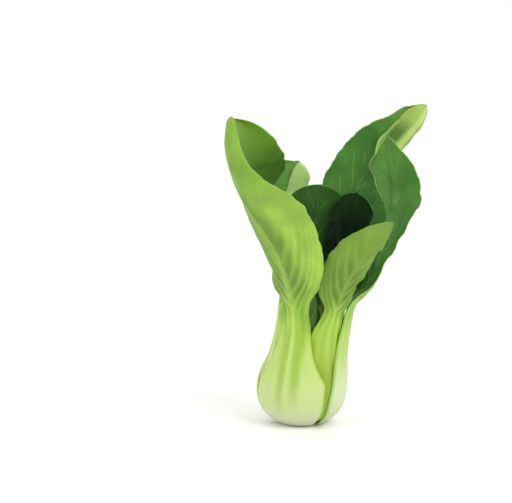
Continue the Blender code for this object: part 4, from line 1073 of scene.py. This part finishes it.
leaf = dict(
    THIRD_WHORL, name="third_leaf_front", neck=55, scallop=0, tip=0.7,
    azimuth=((0, 245), (26, 245), (45, 242), (55, 240), (75, 240)),
    half_angle=((0, 46), (13, 48), (26, 46), (41, 36), (55, 30), (75, 28)),
    spine=((0.5, -13, 70), (0.5, -13, 82), (1.5, -12, 93)),
    left=((1, 7), (1.3, 9), (2, 9)),
    right=((1, 7), (1.3, 9), (2, 9)),
    cup_left=((1, 32), (1.3, 44), (2, 40)),
    cup_right=((1, 32), (1.3, 44), (2, 40)),
    twist=((1, 0), (2, 0)),
    keel=((1, 2.1), (1.3, 1.4), (2, 0.4)),
    keel_half=((1, 7), (1.3, 4), (2, 1.4)),
    waves=((0.3, 20, 2, 2.5),),
)
wax = leaf_material("third_front_wax_skin", (104, 160, 64), (54, 108, 44), (160, 200, 104), (128, 178, 88))
grow_leaf(leaf, wax)


# Heart, larger leaf.  One of the two folded leaves in the very middle, soft and yellow-green because no
# light reaches it.

HEART_PAIR = dict(
    whorl=4, base=10.5,
    cup_left=((1, 50), (1.3, 60), (2, 50)),
    cup_right=((1, 50), (1.3, 60), (2, 50)),
    twist=((1, 0), (2, 0)),
    grooves=PLAIN, rib_count=4, rib_phase=2, scallop=0, scallop_step=10, lamina=0.7, roll_start=0.7,
    tip=0.8,
)
leaf = dict(
    HEART_PAIR, name="heart_leaf_large", neck=40, inset=3.2,
    azimuth=((0, 65), (42, 65), (60, 65)),
    half_angle=((0, 54), (20, 54), (42, 44), (60, 44)),
    spine=((9.5, 7, 56), (10, 5, 70)),
    left=((1, 7), (1.3, 7), (2, 6)),
    right=((1, 7), (1.3, 7), (2, 6)),
    keel=((1, 1.2), (1.3, 0.9), (2, 0.4)),
    keel_half=((1, 6), (1.3, 3.5), (2, 1.4)),
    waves=((0.2, 20, 2, 2.5),),
)
wax = leaf_material("heart_large_wax_skin", (176, 206, 96), (150, 190, 80), (206, 226, 150), (196, 220, 136))
grow_leaf(leaf, wax)


# Heart, smaller leaf.  The palest and youngest leaf, folded against the larger one on the top of the stem
# plate.

leaf = dict(
    HEART_PAIR, name="heart_leaf_small", neck=34, inset=3.5,
    azimuth=((0, 235), (42, 235), (60, 235)),
    half_angle=((0, 58), (20, 58), (42, 48), (60, 48)),
    spine=((2.5, -5, 46), (4, -3.5, 57)),
    left=((1, 6), (1.3, 6), (2, 5)),
    right=((1, 6), (1.3, 6), (2, 5)),
    keel=((1, 1), (1.3, 0.8), (2, 0.4)),
    keel_half=((1, 5), (1.3, 3), (2, 1.4)),
    waves=((0.2, 20, 1, 2.5),),
)
wax = leaf_material("heart_small_wax_skin", (190, 214, 112), (170, 200, 96), (212, 230, 160), (206, 226, 150))
grow_leaf(leaf, wax)


# Studio.  A plain white sheet swept up behind the head, a broad soft lamp from the upper right, a weaker one
# from the left, an even white surround, and the camera that matches the photograph.

SHEET_HALF = 2600.0
SHEET_FRONT = -2200.0
SHEET_BEND = 1600.0
SHEET_RADIUS = 1200.0
SHEET_TOP = 3200.0
SHEET_FACETS = 16
HEAD_MIDDLE = (0.0, 0.0, 0.1)
LAMP_SIZE = 1.0
SURROUND = 1.02
CAMERA_LENS = 140.6
CAMERA_SENSOR = 36.0
CAMERA_TARGET = Vector((-0.0276, 0.0, 0.1045))
CAMERA_DISTANCE = 1.2
CAMERA_ELEVATION = math.radians(8.0)


def backdrop():
    """Floor and wall in one sheet, joined by a quarter round."""
    line = [(SHEET_FRONT, 0.0), (SHEET_BEND, 0.0)]
    for k in range(1, SHEET_FACETS + 1):
        a = k / SHEET_FACETS * math.pi / 2.0
        line.append((SHEET_BEND + SHEET_RADIUS * math.sin(a), SHEET_RADIUS * (1.0 - math.cos(a))))
    line.append((SHEET_BEND + SHEET_RADIUS, SHEET_TOP))
    verts = [(x, y, z) for y, z in line for x in (-SHEET_HALF, SHEET_HALF)]
    faces = [(k, k + 1, k + 3, k + 2) for k in range(0, len(verts) - 2, 2)]
    mat, tree, shader = new_material("studio_paper")
    place = add_node(tree, "ShaderNodeTexCoord").outputs["Object"]
    shade = laid_over(tree, colour((253, 253, 253)), noise(tree, place, 9.0, 2.0), (250, 250, 250))
    tree.links.new(shade, shader.inputs["Base Color"])
    shader.inputs["Roughness"].default_value = 0.6
    return add_mesh("studio_sheet", verts, faces, mat)


def lamp(name, place, power):
    """A soft square lamp aimed at the middle of the head."""
    light = bpy.data.lights.new(name, "AREA")
    light.energy = power
    light.size = LAMP_SIZE
    obj = bpy.data.objects.new(name, light)
    bpy.context.scene.collection.objects.link(obj)
    obj.location = place
    obj.rotation_euler = (Vector(HEAD_MIDDLE) - Vector(place)).to_track_quat("-Z", "Y").to_euler()


backdrop()
lamp("soft_key", (1.0, -1.1, 1.3), 12.0)
lamp("soft_fill", (-1.4, -0.9, 0.6), 3.0)
world = bpy.data.worlds.new("white_surround")
world.use_nodes = True
world.node_tree.nodes["Background"].inputs["Color"].default_value = (1.0, 1.0, 1.0, 1.0)
world.node_tree.nodes["Background"].inputs["Strength"].default_value = SURROUND
bpy.context.scene.world = world
bpy.context.scene.view_settings.view_transform = "Standard"

camera = bpy.data.objects.new("camera", bpy.data.cameras.new("camera"))
bpy.context.scene.collection.objects.link(camera)
camera.data.lens = CAMERA_LENS
camera.data.sensor_width = CAMERA_SENSOR
back = Vector((0.0, -math.cos(CAMERA_ELEVATION), math.sin(CAMERA_ELEVATION)))
camera.location = CAMERA_TARGET + back * CAMERA_DISTANCE
camera.rotation_euler = (-back).to_track_quat("-Z", "Y").to_euler()
bpy.context.scene.camera = camera
